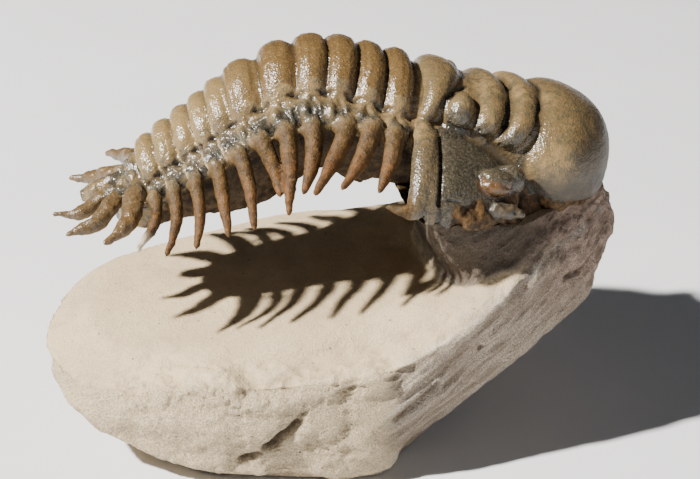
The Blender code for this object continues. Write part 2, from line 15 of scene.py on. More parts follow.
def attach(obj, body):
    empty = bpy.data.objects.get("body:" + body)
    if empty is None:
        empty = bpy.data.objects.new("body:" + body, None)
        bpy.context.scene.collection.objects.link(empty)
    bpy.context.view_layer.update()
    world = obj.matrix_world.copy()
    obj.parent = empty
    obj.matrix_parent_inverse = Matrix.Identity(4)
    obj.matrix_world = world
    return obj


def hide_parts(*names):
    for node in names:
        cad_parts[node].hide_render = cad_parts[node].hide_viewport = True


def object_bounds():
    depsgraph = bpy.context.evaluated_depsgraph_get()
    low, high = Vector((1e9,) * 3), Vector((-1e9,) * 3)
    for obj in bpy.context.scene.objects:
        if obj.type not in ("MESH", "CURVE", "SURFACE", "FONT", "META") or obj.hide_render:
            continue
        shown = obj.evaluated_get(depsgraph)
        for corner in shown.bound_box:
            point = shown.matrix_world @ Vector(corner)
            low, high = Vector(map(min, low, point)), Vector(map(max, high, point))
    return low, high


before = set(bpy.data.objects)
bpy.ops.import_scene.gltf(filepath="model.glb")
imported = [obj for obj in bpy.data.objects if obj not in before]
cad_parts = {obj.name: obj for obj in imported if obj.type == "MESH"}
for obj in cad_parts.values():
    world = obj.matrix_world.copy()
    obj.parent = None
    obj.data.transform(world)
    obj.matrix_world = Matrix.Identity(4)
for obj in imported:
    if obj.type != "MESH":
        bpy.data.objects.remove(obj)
solid_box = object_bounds()

MM = 0.001
MIDDLE = (-0.05, -2.25, 0.0)
COARSE = 1.0

# Thorax, segment 1 next to the head: the crest of each axial ring in the plane of symmetry.
# The twelfth row is the first ring of the tail shield and the thirteenth its rear part.
CREST = (
    (8.6, 46.9),
    (5.3, 47.9),
    (1.6, 48.9),
    (-2.4, 49.2),
    (-6.8, 48.3),
    (-11.5, 46.0),
    (-14.4, 43.8),
    (-16.6, 42.1),
    (-18.7, 40.4),
    (-21.0, 38.7),
    (-23.2, 36.9),
    (-25.0, 34.8),
    (-26.6, 32.6),
)
PITCH = (-14.0, -12.0, -4.0, 6.0, 16.0, 25.0, 30.5, 33.5, 35.5, 37.0, 39.5, 43.5, 49.0)
SEGMENTS = 11
AXIS_HALF_FRONT = 7.0
AXIS_HALF_BACK = 4.5
ARCH_FRONT = 4.9
ARCH_BACK = 3.4
RING_SWEEP = 1.1
FILL_DEPTH_FRONT = 11.8
FILL_DEPTH_BACK = 5.4

# Spine of each segment: where it leaves the rib, its middle and its tip, on the +Y side.
SPINES = (
    ((6.6, 11.2, 40.4), (5.7, 14.2, 38.0), (4.0, 17.0, 35.6)),
    ((4.0, 11.0, 41.2), (2.3, 14.0, 38.6), (-0.3, 17.0, 36.2)),
    ((1.0, 10.8, 41.4), (-0.9, 14.0, 38.6), (-3.4, 17.5, 35.9)),
    ((-2.8, 10.3, 41.3), (-3.2, 13.2, 38.4), (-4.6, 16.3, 35.5)),
    ((-5.9, 10.2, 40.9), (-5.8, 13.6, 37.5), (-6.3, 17.4, 33.5)),
    ((-8.8, 9.6, 39.8), (-7.6, 12.0, 37.2), (-7.1, 15.2, 35.0)),
    ((-11.4, 9.4, 38.0), (-10.5, 12.4, 35.1), (-10.2, 16.4, 31.4)),
    ((-14.0, 9.1, 36.2), (-13.5, 12.1, 33.0), (-13.2, 15.9, 30.4)),
    ((-16.6, 8.8, 34.6), (-16.3, 11.8, 31.9), (-17.0, 15.3, 28.8)),
    ((-19.2, 8.5, 33.3), (-19.1, 11.5, 30.8), (-20.5, 14.8, 27.9)),
    ((-21.5, 8.2, 32.6), (-21.5, 11.2, 30.9), (-24.0, 14.2, 28.2)),
)
CRUST = ((-23.4, -13.6, 28.6), (-24.4, -14.6, 27.9))  # pale tip of the last one on the near side

# Tail shield spines: root, middle and tip on the +Y side, and the half width of each. The third
# pair is broken on the +Y side, where a short blunt stub is left.
TAIL_SPINES = (
    ((-24.0, 6.4, 31.9), (-24.7, 10.8, 30.6), (-27.7, 14.6, 29.6), 1.2),
    ((-26.6, 4.6, 30.6), (-28.6, 7.4, 29.2), (-32.2, 9.0, 28.6), 1.1),
    ((-28.4, 2.3, 30.0), (-30.6, 3.6, 29.0), (-33.9, 3.9, 29.2), 0.9),
)
STUB = ((-28.2, 1.6, 29.9), (-29.4, 2.0, 29.2), (-30.6, 2.2, 28.8), 1.25)
TAIL_MIDDLE = (-23.4, 1.5, 32.6)
TAIL_RINGS = ((12.0, 0.92), (12.85, 0.7), (13.5, 0.5))  # segment number and size

# Head shield, in its own frame: forward from the rear margin, up from the furrow level.
HEAD_ORIGIN = (9.3, 41.6)
HEAD_PITCH = -13.6
HEAD_HALF_WIDTH = 18.9
HEAD_DEPTH = 9.0
CHEEK_REAR = 2.0
SEAT = ((4.0, 33.5), (21.0, 29.5), (38.0, 30.0))  # X and height of the head's underside

# Furrows of the head as (forward, lateral, up) lines on the +Y half, with width and depth.
HEAD_FURROWS = (
    (((7.3, 0, 3.2), (7.2, 3.8, 2.7), (7.6, 6.7, 1.7), (7.8, 8.9, 0)), 0.26, 0.9),
    (((7, 2, 3.2), (4.9, 5, 3.5), (3.5, 6.8, 2.6), (3, 7.8, 1), (3.2, 8.3, 0)), 0.24, 0.6),
    (((3.2, 8.2, 0), (5, 8.7, -0.5), (7.9, 8.8, -0.6), (9.3, 9.1, -1.4)), 0.26, 0.8),
    (((9.3, 9.1, -1.4), (13.1, 10.3, -3.1), (14.7, 11.6, -5.6), (14.8, 12.6, -7.2)), 0.32, 0.95),
    (((12.1, 0, 3.5), (11.3, 5.6, 2.7), (10.9, 7.9, 1.2), (10.5, 9.3, -1.3)), 0.26, 0.75),
    (((15.8, 0, 4.3), (15, 6.8, 3.2), (14.1, 9.8, 0.6), (13, 10.3, -2.8)), 0.27, 0.75),
)

# Glabella from rear to front: forward, half width, top, and level of its widest line.
GLABELLA = (
    (2.2, 7.0, 2.8, -1.2),
    (4.0, 7.7, 3.9, -1.4),
    (7.0, 8.3, 3.8, -1.7),
    (10.0, 9.0, 3.8, -2.0),
    (13.0, 9.6, 3.5, -2.8),
    (16.0, 10.9, 4.35, -3.4),
    (19.0, 11.5, 4.55, -3.7),
    (21.5, 10.4, 4.0, -3.9),
    (23.7, 8.4, 3.0, -4.0),
    (25.3, 5.9, 1.2, -4.0),
    (26.2, 3.0, -1.3, -4.0),
)

# Occipital ring and the two lobes before it, as add_arch takes them: half width, height, half
# lengths, thickness, sweep, place forward, reach in degrees.
HEAD_BANDS = (
    (7.6, 4.9, (2.6, 1.3), 1.9, 1.9, 3.3, 97.0),
    (8.8, 4.1, (2.35, 2.0), 1.7, 1.5, 9.8, 104.0),
    (9.7, 4.25, (2.1, 1.9), 1.6, 3.1, 14.2, 115.0),
)

# Rear border of a cheek, out to its genal spine: place, half width, half thickness.
BORDER = (
    (1.4, 6.4, -1.2, 1.1, 1.1),
    (1.5, 8.6, -1.6, 1.5, 1.25),
    (1.5, 11.9, -2.75, 1.6, 1.3),
    (1.4, 15.0, -4.8, 1.6, 1.3),
    (1.2, 16.95, -7.0, 1.5, 1.25),
    (0.2, 18.2, -8.0, 1.1, 0.9),
    (-2.9, 18.0, -8.1, 0.25, 0.25),
)

# Middle (forward, lateral, up) and radii of the small swellings of each half of the head.
BASAL_LOBE = ((5.5, 5.9, 0.4), (2.4, 3.1, 3.0))
EYE = ((10.1, 14.6, -4.3), (1.9, 1.35, 1.25))
EYE_LID = ((10.1, 14.0, -3.5), (2.1, 1.6, 0.95))
TUBERCLE = ((12.4, 11.4, -4.5), (2.2, 1.9, 2.2))
LUMP = ((11.5, 15.5, -6.9), (2.5, 1.05, 0.9))

# Lines on each half of the head: seam of the eye's lid, notch of the cheek, rusty strip.
LID_SEAM = ((8.3, 15.3, -3.9), (10.1, 16.1, -3.6), (12.0, 15.2, -4.1))
NOTCH = ((4.4, 17.5, -6.1), (5.9, 17.4, -6.1))
RUSTY_STRIP = ((14.8, 12.4, -6.6), (16.4, 12.2, -8.5))

# Closed outlines of the block from its underside to the top of its neck, sixteen points each,
# starting at the left tip and passing the front, the right end and the back.
OUTLINES = (
    (
        (-24, -3, 0), (-22, -10, 0), (-15, -16.5, 0), (-9, -18.5, 0),
        (0, -19.8, 0), (4.2, -19.4, 0), (5.6, -17, 0), (8, -13, 0),
        (11, -6, 0), (12, 2, 0), (11, 10, 0), (8, 16, 0),
        (0, 18, 0), (-12, 15, 0), (-19, 9, 0), (-23, 3, 0),
    ),
    (
        (-32, -4, 6), (-29, -15.2, 5.3), (-19.6, -19, 2.4), (-13, -20.4, 1.6),
        (-1, -21.2, 1.2), (5.3, -20.8, 1.4), (7.4, -18.9, 4.7), (14.6, -15.8, 7.4),
        (22.5, -11, 11.2), (22, 0, 11), (18, 10, 9), (11, 19, 6),
        (0, 22, 5), (-15, 19, 4.5), (-24, 12, 5), (-29, 4, 6),
    ),
    (
        (-35, -5, 9.2), (-32, -13.8, 7.8), (-21, -19.3, 8), (-13, -21.5, 8),
        (-1, -22.3, 8), (6.2, -21.6, 9), (12.4, -18.8, 10), (23, -14, 13.2),
        (31.2, -8.6, 17.8), (31, 4, 18.5), (24, 15, 14), (13, 23.5, 10.5),
        (-1, 26, 10), (-19, 22, 9), (-27.5, 14, 9.5), (-33, 5, 9.5),
    ),
    (
        (-35.8, -5, 12), (-30.4, -13, 10.4), (-20.4, -18.5, 13), (-12.3, -21, 13.6),
        (-1.3, -22, 14.4), (7.1, -21.5, 15.8), (14.5, -19.4, 19), (22.3, -16.4, 23.4),
        (35.2, -3.6, 24.4), (34, 6, 24.5), (24, 17.5, 20), (12.2, 25.6, 15.2),
        (-1.6, 26.6, 15.2), (-19.8, 21.8, 13.6), (-29.1, 14, 14.1), (-34.2, 5, 13.2),
    ),
    (
        (-30, -4, 14.4), (-26, -10, 14), (-17.5, -14.8, 15), (-10, -16.8, 15.4),
        (0, -17.6, 16), (7.5, -17.8, 17.4), (14.6, -17.2, 20.6), (22.4, -15.4, 25),
        (34, -3.5, 28), (32, 7.5, 27.5), (21, 16, 22), (10.5, 20.5, 17),
        (-2, 21.5, 16.6), (-17, 17.5, 15.6), (-25, 11, 15.2), (-29.5, 4, 14.8),
    ),
    (
        (12.8, -1, 19.3), (13.4, -5, 19.7), (14, -8.4, 20.2), (14.8, -11, 21),
        (15.8, -12.8, 21.9), (17, -13.8, 22.9), (19.2, -14.4, 24.6), (23.4, -13.8, 26.4),
        (33.4, -3.4, 29.2), (31.6, 6.4, 28.6), (22, 13, 25.5), (16, 14.2, 23),
        (13.4, 13.4, 21.8), (12.6, 10.5, 20.8), (12.4, 7, 20), (12.5, 3, 19.4),
    ),
    (
        (11.4, -1, 26), (11.3, -6, 26), (11.4, -10.6, 26.4), (12, -13.6, 27),
        (13.2, -15.2, 27.4), (15, -15.7, 27.6), (18, -15.4, 27.8), (22.8, -13.6, 28.4),
        (32.7, -3.2, 29.6), (31, 5.6, 29.4), (22, 13, 28.2), (16.4, 15, 27.4),
        (13.6, 14.4, 26.8), (12.6, 11, 26.4), (11.8, 6, 26), (11.3, 2, 26),
    ),
    (
        (11, -1, 33), (10.7, -6, 33), (10.4, -12, 33), (10.7, -15.6, 33),
        (11.9, -17.2, 33), (14, -17.2, 33), (18, -15.8, 33), (22.8, -13, 33),
        (32.4, -3, 33), (30.6, 5, 33), (22, 13, 33), (16.6, 16, 33),
        (13.6, 16, 33), (12.4, 12, 33), (11.6, 6, 33), (11.2, 2, 33),
    ),
)

# Marks of the block's near side, as lines and points on its surface.
CREVICE = (
    (-5.2, -21.6, 10.4), (-6.5, -21.3, 8.3), (-8, -21, 6.5),
    (-10.1, -20.6, 4.8), (-12.6, -20, 3.6),
)
HOLLOW = (-8.0, -21.5, 1.6)
FRAGMENT = (-2.4, -22.0, 6.6)
GROOVE_PAIR = (
    ((-1.3, -21.9, 13.8), (2.4, -22, 14.4), (6.1, -21.5, 15.1)),
    ((0.2, -22.1, 13.1), (3.4, -22, 13.7), (5.6, -21.7, 14.1)),
)
LIP = ((5.6, -21.7, 8.6), (7.4, -21.2, 10.2), (9.3, -20.7, 11.4), (10.8, -20.1, 12.2))
SLIT = ((27.5, -11.7, 21.3), (29.4, -10, 21.5))
PINHOLE = (16.4, -18.2, 15.6)

# Upper edge of the block's near side, and foot of its neck, which are both worn.
EDGE = (
    (-25.4, -15.5, 11.8), (-20.4, -17.8, 13.1), (-12.3, -20.6, 13.8), (-1.3, -21.7, 14.8),
    (7.1, -21.1, 16.2), (14.1, -19.3, 19.0), (20.8, -17.2, 22.8), (24.6, -14.4, 25.2),
    (33.6, -5.2, 27.4),
)
NECK_FOOT = (
    (12.6, 6, 19.6), (13.4, -5, 19.9), (14.6, -10, 20.8), (16.6, -13.2, 22.6), (20, -14, 24.8),
)
STREAK = Vector((0.76, 0.35, 0.55))  # run of the striae on the block's right side

# Skin of each piece: its grain, its rounds of relaxing and its most triangles.
BODY_SKIN = (0.23, 2, 190000)
HEAD_SKIN = (0.19, 2, 190000)
BLOCK_SKIN = (0.34, 3, 180000)


def lerp(a, b, t):
    return a + (b - a) * t


def smooth(t):
    """0 up to 0, 1 from 1 on, and an even rise between them."""
    t = np.clip(t, 0.0, 1.0)
    return t * t * (3.0 - 2.0 * t)


def above(a, b, width):
    """0 where a is not over b, 1 where it is over b by width or more."""
    return smooth((a - b) / width)


def spline(a, b, c, d, t):
    """The point at t on the Catmull-Rom curve from b to c."""
    line = 2 * b + (c - a) * t
    bend = (2 * a - 5 * b + 4 * c - d) * t * t + (3 * b - a - 3 * c + d) * t**3
    return 0.5 * (line + bend)


def along(table, u):
    """The value at segment number u of a table that has one row a segment, carried straight on
    past both ends."""
    rows = [np.atleast_1d(np.array(row, float)) for row in table]
    last = len(rows) - 1
    t = u - 1.0
    if t <= 0.0:
        return rows[0] + (rows[1] - rows[0]) * t
    if t >= last:
        return rows[last] + (rows[last] - rows[last - 1]) * (t - last)
    k = int(t)
    t -= k
    b, c = rows[k], rows[k + 1]
    a = rows[k - 1] if k > 0 else 2 * b - c
    d = rows[k + 2] if k + 2 <= last else 2 * c - b
    return spline(a, b, c, d, t)


def upright(x, z, degrees):
    """(origin, headward, lateral, dorsal) of a frame tilted in the plane of symmetry."""
    a = math.radians(degrees)
    return (
        Vector((x, 0.0, z)),
        Vector((math.cos(a), 0.0, math.sin(a))),
        Vector((0.0, 1.0, 0.0)),
        Vector((-math.sin(a), 0.0, math.cos(a))),
    )


def axis_half(u):
    return lerp(AXIS_HALF_FRONT, AXIS_HALF_BACK, (u - 1.0) / (SEGMENTS - 1.0))


def arch_height(u):
    return lerp(ARCH_FRONT, ARCH_BACK, (u - 1.0) / (SEGMENTS - 1.0))


def segment_size(u):
    return lerp(1.0, 0.72, above(u, 3.0, 8.0))


def ring_frame(u):
    """Frame of the cross-section at segment number u, at the level of the axial furrows."""
    x, z = along(CREST, u)
    degrees = float(along(PITCH, u)[0])
    placed = upright(float(x), float(z), degrees)
    return (placed[0] - placed[3] * arch_height(u), *placed[1:])


def crest_spacing(u):
    """Half the distance between the crests on both sides of segment number u."""
    return float(np.linalg.norm(along(CREST, u + 1.0) - along(CREST, u - 1.0))) / 2.0


def head_frame():
    return upright(*HEAD_ORIGIN, HEAD_PITCH)


def seat_height(x):
    """Height of the underside of the head at X = x, for one value or many."""
    rear, middle, front = SEAT
    low = rear[1] + (middle[1] - rear[1]) * (x - rear[0]) / (middle[0] - rear[0])
    high = middle[1] + (front[1] - middle[1]) * (x - middle[0]) / (front[0] - middle[0])
    return np.maximum(low, high)


def place(placed, forward, lateral, up):
    origin, f, s, n = placed
    return origin + f * forward + s * lateral + n * up


def curve_through(points, count, closed=False):
    """count points, evenly spread, on a Catmull-Rom curve through the given tuples."""
    rows = [np.array(p, float) for p in points]
    if closed:
        spans, steps = len(rows), count
        rows = [rows[-1], *rows, *rows[:2]]
    else:
        spans, steps = len(rows) - 1, count - 1
        rows = [2 * rows[0] - rows[1], *rows, 2 * rows[-1] - rows[-2]]
    found = []
    for i in range(count):
        t = spans * i / steps
        k = min(int(t), spans - 1)
        found.append(spline(*rows[k : k + 4], t - k))
    return found


def around(count):
    """Cosine and sine of count angles, evenly spread round a circle."""
    for i in range(count):
        a = 2 * math.pi * i / count
        yield math.cos(a), math.sin(a)


def add_loft(mesh, loops):
    """A closed body through loops of equal length, with a point closing each end."""
    rings = [[mesh.verts.new(p) for p in loop] for loop in loops]
    count = len(rings[0])
    for a, b in zip(rings, rings[1:]):
        for i in range(count):
            j = (i + 1) % count
            mesh.faces.new((a[i], a[j], b[j], b[i]))
    for ring, flip in ((rings[0], True), (rings[-1], False)):
        middle = mesh.verts.new(sum((v.co for v in ring), Vector()) / count)
        for i in range(count):
            j = (i + 1) % count
            mesh.faces.new((ring[j], ring[i], middle) if flip else (ring[i], ring[j], middle))


def section(centre, wide, out, half_wide, half_out, count, power):
    """A superellipse loop round centre, in the plane of the two directions."""
    loop = []
    for c, s in around(count):
        c = math.copysign(abs(c) ** (2 / power), c)
        s = math.copysign(abs(s) ** (2 / power), s)
        loop.append(centre + wide * (half_wide * c) + out * (half_out * s))
    return loop


def add_arch(
    mesh, placed, half, height, length, thickness, sweep,
    forward=0.0, reach=97.0, drop=0.0, power=2.4,
):
    """A barrel-shaped band over the back, its half length given at the crest and at its ends,
    which are drawn down by drop."""
    loops = []
    stations = 61
    for i in range(stations):
        t = 2.0 * i / (stations - 1) - 1.0
        a = math.radians(reach) * t
        low = drop * float(above(abs(t), 0.6, 0.4))
        y = (half - 0.75 * thickness) * math.sin(a) + math.copysign(0.8 * low, t)
        n = (height - thickness) * math.cos(a) - low
        out = (placed[2] * (math.sin(a) * height) + placed[3] * (math.cos(a) * half)).normalized()
        end = math.sqrt(max(0.02, 1.0 - max(0.0, (abs(t) - 0.9) / 0.1) ** 2.2))
        side = smooth(abs(t) * 1.1)
        centre = place(placed, forward - sweep * abs(t) ** 2.0, y, n)
        wide = lerp(length[0], length[1], side) * end
        loops.append(section(centre, placed[1], out, wide, thickness * end, 28, power))
    add_loft(mesh, loops)


def add_rib(mesh, hint, points, stations=44, sides=(-1.0, 1.0)):
    """A tapering limb through points (x, y, z, half width, half thickness), given on the +Y
    side. Its width lies along the hint direction as far as it can."""
    rows = curve_through(points, stations)
    for side in sides:
        loops = []
        turn = Vector((1.0, side, 1.0))
        for i, row in enumerate(rows):
            run = rows[min(i + 1, stations - 1)][:3] - rows[max(i - 1, 0)][:3]
            across = (Vector(run) * turn).normalized()
            out = hint.cross(across).normalized()
            wide = across.cross(out).normalized()
            end = 0.35 if i in (0, stations - 1) else 1.0
            centre = Vector(row[:3]) * turn
            loops.append(section(centre, wide, out, row[3] * end, row[4] * end, 20, 2.1))
        add_loft(mesh, loops)


def cut_flat(mesh, point, normal):
    """Removes what lies beyond a plane and closes the cut with a flat face."""
    cut = bmesh.ops.bisect_plane(
        mesh,
        geom=mesh.verts[:] + mesh.edges[:] + mesh.faces[:],
        plane_co=point,
        plane_no=normal,
        clear_outer=True,
    )
    edges = [e for e in cut["geom_cut"] if isinstance(e, bmesh.types.BMEdge)]
    bmesh.ops.holes_fill(mesh, edges=edges)


def add_copy(mesh, other):
    """Adds the other mesh's faces to this one and frees the other."""
    data = bpy.data.meshes.new("copy")
    other.to_mesh(data)
    other.free()
    mesh.from_mesh(data)
    bpy.data.meshes.remove(data)


def add_ball(mesh, centre, axes, radii, detail=4):
    """An ellipsoid with its radii along three directions."""
    made = bmesh.ops.create_icosphere(mesh, subdivisions=detail, radius=1.0)
    for v in made["verts"]:
        x, y, z = (radius * part for radius, part in zip(radii, v.co))
        v.co = centre + axes[0] * x + axes[1] * y + axes[2] * z


def add_segment(mesh, u):
    """Thorax segment u: axial ring, half ring in front of it, beads, nodes, ribs with spines."""
    placed = ring_frame(u)
    axes = placed[1:]
    half, height, size = axis_half(u), arch_height(u), segment_size(u)
    back = RING_SWEEP * min(1.0, (u - 1.0) / 2.0)
    length = crest_spacing(u)
    beside = max(u - 1.0, 1.0), min(u + 1.0, SEGMENTS)
    ends = [ring_frame(v)[0] for v in beside]
    low = (ends[0] - ends[1]).length / (beside[1] - beside[0])
    thick = 1.35 * size + 0.25
    span = (0.5 * min(length, 4.3), 0.53 * low)
    add_arch(mesh, placed, half, height, span, thick, back, drop=1.25 * size, power=2.1)
    add_arch(mesh, placed, half - 1.0, height - 1.3, (0.9, 0.6), 1.0, back * 0.6, 0.6 * length)

    root, middle, tip = SPINES[int(u) - 1]
    inner = place(placed, -back, half - 1.4, -1.5)
    outer = place(placed, -back, half + 0.2, -1.9)
    rib = (
        (*inner, 1.3 * size, 1.0 * size),
        (*outer, 1.4 * size, 1.1 * size),
        (*outer.lerp(Vector(root), 0.5), 1.35 * size, 1.2 * size),
        (*root, 1.2 * size, 1.15 * size),
        (*middle, 0.96 * size, 0.95 * size),
        (*tip, 0.34, 0.34),
    )
    add_rib(mesh, axes[0], rib)
    for side in (-1.0, 1.0):
        lateral = side * (half + 0.4 + 1.7 * size)
        flank = place(placed, -0.8 * size - back, lateral, -2.2)
        add_ball(mesh, flank, axes, (0.92 * size, 1.7 * size, 1.75 * size))
        bead = place(placed, 0.8 * size - back, lateral, -2.3)
        add_ball(mesh, bead, axes, (0.85 * size, 1.6 * size, 1.65 * size))
        node = Vector(root) * Vector((1.0, side, 1.0)) - axes[0] * 1.25 * size
        add_ball(mesh, node, axes, (0.5 * size, 0.6 * size, 0.65 * size), 3)


def add_fill(mesh):
    """The rock fill under the shields, from inside the head to the tail."""
    loops = []
    for i in range(54):
        u = lerp(-0.9, 14.0, i / 53.0)
        placed = ring_frame(u)
        v = min(max(u, 1.0), 13.5)
        half, height = axis_half(v), arch_height(v)
        top = height - 1.1
        wide = half + 2.3
        deep = lerp(FILL_DEPTH_FRONT, FILL_DEPTH_BACK, above(v, 7.8, 5.4))
        end = math.sqrt(max(0.05, 1.0 - max(0.0, (u - 12.4) / 1.7) ** 2))
        back = -RING_SWEEP * min(1.0, max(0.0, (v - 1.0) / 2.0))
        loop = []
        for c, s in around(48):
            y = wide * math.copysign(abs(c) ** (1.0 if s >= 0.0 else 0.75), c)
            beside = min(1.0, abs(y) / half)
            if s >= 0.0:
                n = (top + 0.8) * math.sqrt(1.0 - beside**2) - 0.8
            else:
                n = -0.8 - (deep - 0.8) * abs(s) ** 0.9
            point = place(placed, back * beside**2, y * end, n * end)
            if point.x > SEAT[0][0]:
                point.z = max(point.z, float(seat_height(point.x)) + 0.1)
            loop.append(point)
        loops.append(loop)
    add_loft(mesh, loops)


def add_tail_spine(mesh, row, sides):
    root, middle, tip, width = row
    hint = Vector((-0.5, 0.85, -0.2))
    start = Vector(TAIL_MIDDLE).lerp(Vector(root), 0.45)
    blunt = 0.75 if row is STUB else 0.28
    points = (
        (*start, width * 0.9, width * 0.8),
        (*root, width * 1.15, width * 0.95),
        (*middle, width * 0.95, width * 0.9),
        (*tip, blunt, blunt),
    )
    add_rib(mesh, hint, points, 36, sides)


def add_tail(mesh):
    """Tail shield: short axial rings, a plate, three pairs of spines and a median stub."""
    for u, size in TAIL_RINGS:
        placed = ring_frame(u)
        add_arch(mesh, placed, 4.3 * size, 3.1 * size, (1.15, 0.9), 1.1, 0.8)
    plate = ring_frame(12.6)
    add_ball(mesh, place(plate, -0.9, 0.0, -1.6), plate[1:], (4.0, 6.4, 1.9))
    for row in TAIL_SPINES:
        add_tail_spine(mesh, row, (-1.0,) if row is TAIL_SPINES[-1] else (-1.0, 1.0))
    add_tail_spine(mesh, STUB, (1.0,))


def add_glabella(mesh, placed):
    """The swollen middle of the head."""
    loops = []
    for f, half, top, level in curve_through(GLABELLA, 60):
        loop = []
        for c, s in around(64):
            y = half * math.copysign(abs(c) ** 0.92, c)
            reach = top - level if s >= 0.0 else 7.0 * half / 11.0
            n = level + reach * math.copysign(abs(s) ** 0.92, s)
            loop.append(place(placed, f, y, n))
        loops.append(loop)
    add_loft(mesh, loops)


def add_head(mesh):
    """Head shield: cheeks, glabella, basal lobes, occipital ring, border, eyes, genal spines."""
    placed = head_frame()
    axes = placed[1:]
    cheeks = bmesh.new()
    add_ball(cheeks, place(placed, 0.5, 0.0, -HEAD_DEPTH), axes, (20.0, HEAD_HALF_WIDTH, 9.3), 6)
    cut_flat(cheeks, place(placed, CHEEK_REAR, 0.0, 0.0), -axes[0])
    add_copy(mesh, cheeks)
    add_glabella(mesh, placed)
    for row in HEAD_BANDS:
        add_arch(mesh, placed, *row, power=2.3)
    add_rib(mesh, placed[1], [(*place(placed, *row[:3]), *row[3:]) for row in BORDER], 52)
    for side in (-1.0, 1.0):
        for (forward, lateral, up), radii in (BASAL_LOBE, EYE, EYE_LID, TUBERCLE, LUMP):
            add_ball(mesh, place(placed, forward, side * lateral, up), axes, radii)


def linked(name, data):
    made = bpy.data.objects.new(name, data)
    bpy.context.scene.collection.objects.link(made)
    return made


def object_of(mesh, name):
    data = bpy.data.meshes.new(name)
    bmesh.ops.recalc_face_normals(mesh, faces=mesh.faces[:])
    mesh.to_mesh(data)
    mesh.free()
    return linked(name, data)


def apply_modifiers(made):
    """Replaces the object's mesh by what its modifiers make of it."""
    graph = bpy.context.evaluated_depsgraph_get()
    data = bpy.data.meshes.new_from_object(made.evaluated_get(graph))
    made.modifiers.clear()
    old = made.data
    made.data = data
    bpy.data.meshes.remove(old)


def read(items, name, width=1, kind=float):
    """One value of each item, or a row of that width, as an array."""
    found = np.zeros(len(items) * width, kind)
    items.foreach_get(name, found)
    return found.reshape(-1, width) if width > 1 else found


def keep_largest(made):
    """Drops every separate shell but the one with the most vertices, sealed hollows too."""
    data = made.data
    a, b = read(data.edges, "vertices", 2, np.int64).T
    label = np.arange(len(data.vertices))
    while True:
        low = np.minimum(label[a], label[b])
        fresh = label.copy()
        np.minimum.at(fresh, a, low)
        np.minimum.at(fresh, b, low)
        fresh = fresh[fresh]
        if (fresh == label).all():
            break
        label = fresh
    values, counts = np.unique(label, return_counts=True)
    if len(values) == 1:
        return
    stay = values[counts.argmax()]
    mesh = bmesh.new()
    mesh.from_mesh(data)
    mesh.verts.ensure_lookup_table()
    extra = [mesh.verts[i] for i in np.flatnonzero(label != stay)]
    bmesh.ops.delete(mesh, geom=extra, context="VERTS")
    mesh.to_mesh(data)
    mesh.free()


def fuse(made, voxel, rounds):
    """Joins overlapping bodies into one skin of about that grain and relaxes it a little."""
    remesh = made.modifiers.new("fuse", "REMESH")
    remesh.mode = "VOXEL"
    remesh.voxel_size = voxel * COARSE
    relax = made.modifiers.new("relax", "SMOOTH")
    relax.factor = 0.5
    relax.iterations = rounds
    apply_modifiers(made)
    keep_largest(made)


def thin(made, triangles):
    """Collapses edges until at most about that many triangles are left."""
    made.data.update()
    count = sum(len(p.vertices) - 2 for p in made.data.polygons)
    if count > triangles:
        reduce = made.modifiers.new("thin", "DECIMATE")
        reduce.ratio = triangles / count
        apply_modifiers(made)


def coordinates(data):
    return read(data.vertices, "co", 3)


def normals(data):
    return read(data.vertex_normals, "vector", 3)


def store(data, co):
    data.vertices.foreach_set("co", co.astype(np.float32).ravel())
    data.update()


def paint(data, **masks):
    """Keeps each mask, from 0 to 1 on every point, under its name."""
    for name, values in masks.items():
        layer = data.attributes.new(name, "FLOAT", "POINT")
        layer.data.foreach_set("value", np.clip(values, 0.0, 1.0).astype(np.float32))


def make_dull(data, values):
    """Gives the second material to the faces where values is over a half."""
    corners = read(data.loops, "vertex_index", kind=np.int64)
    starts = read(data.polygons, "loop_start", kind=np.int64)
    dull = values[corners[starts]] > 0.5
    data.polygons.foreach_set("material_index", dull.astype(np.int32))


def bump(distance, width):
    """1 at no distance, falling to 0 on both sides."""
    return np.exp(-((distance / width) ** 2))


def from_ball(points, centre, radii=1.0):
    """Distance of each point from a centre, counted in the radii."""
    return np.linalg.norm((points - centre) / radii, axis=1)


def distance_to(points, line):
    """Distance from each point to a polyline."""
    best = np.full(len(points), np.inf)
    for a, b in zip(line, line[1:]):
        a, b = np.array(a, float), np.array(b, float)
        way = b - a
        t = np.clip((points - a) @ way / (way @ way), 0.0, 1.0)
        best = np.minimum(best, np.linalg.norm(points - (a + t[:, None] * way), axis=1))
    return best


def grain(points, size, seed=0):
    """Smooth noise from -1 to 1 with features of about that size, one value for each point."""
    p = points / size + 31.7 * (seed + 1)
    cell = np.floor(p).astype(np.int64)
    part = p - cell
    part = part * part * (3.0 - 2.0 * part)
    total = np.zeros(len(points))
    for corner in range(8):
        step = np.array([corner & 1, corner >> 1 & 1, corner >> 2 & 1])
        c = cell + step
        h = c[:, 0] * 73856093 ^ c[:, 1] * 19349663 ^ c[:, 2] * 83492791 ^ (seed + 7) * 2654435761
        h = (h ^ h >> 15) * 2246822519 & 0xFFFFFFFF
        h = (h ^ h >> 13) * 3266489917 & 0xFFFFFFFF
        total += (h / 0xFFFFFFFF * 2.0 - 1.0) * np.prod(np.where(step, part, 1.0 - part), axis=1)
    return total


def rough(points, size, octaves=3, seed=0):
    """Noise of several sizes, each half of the one before."""
    return sum(grain(points, size / 2**i, seed + i) / 2**i for i in range(octaves))


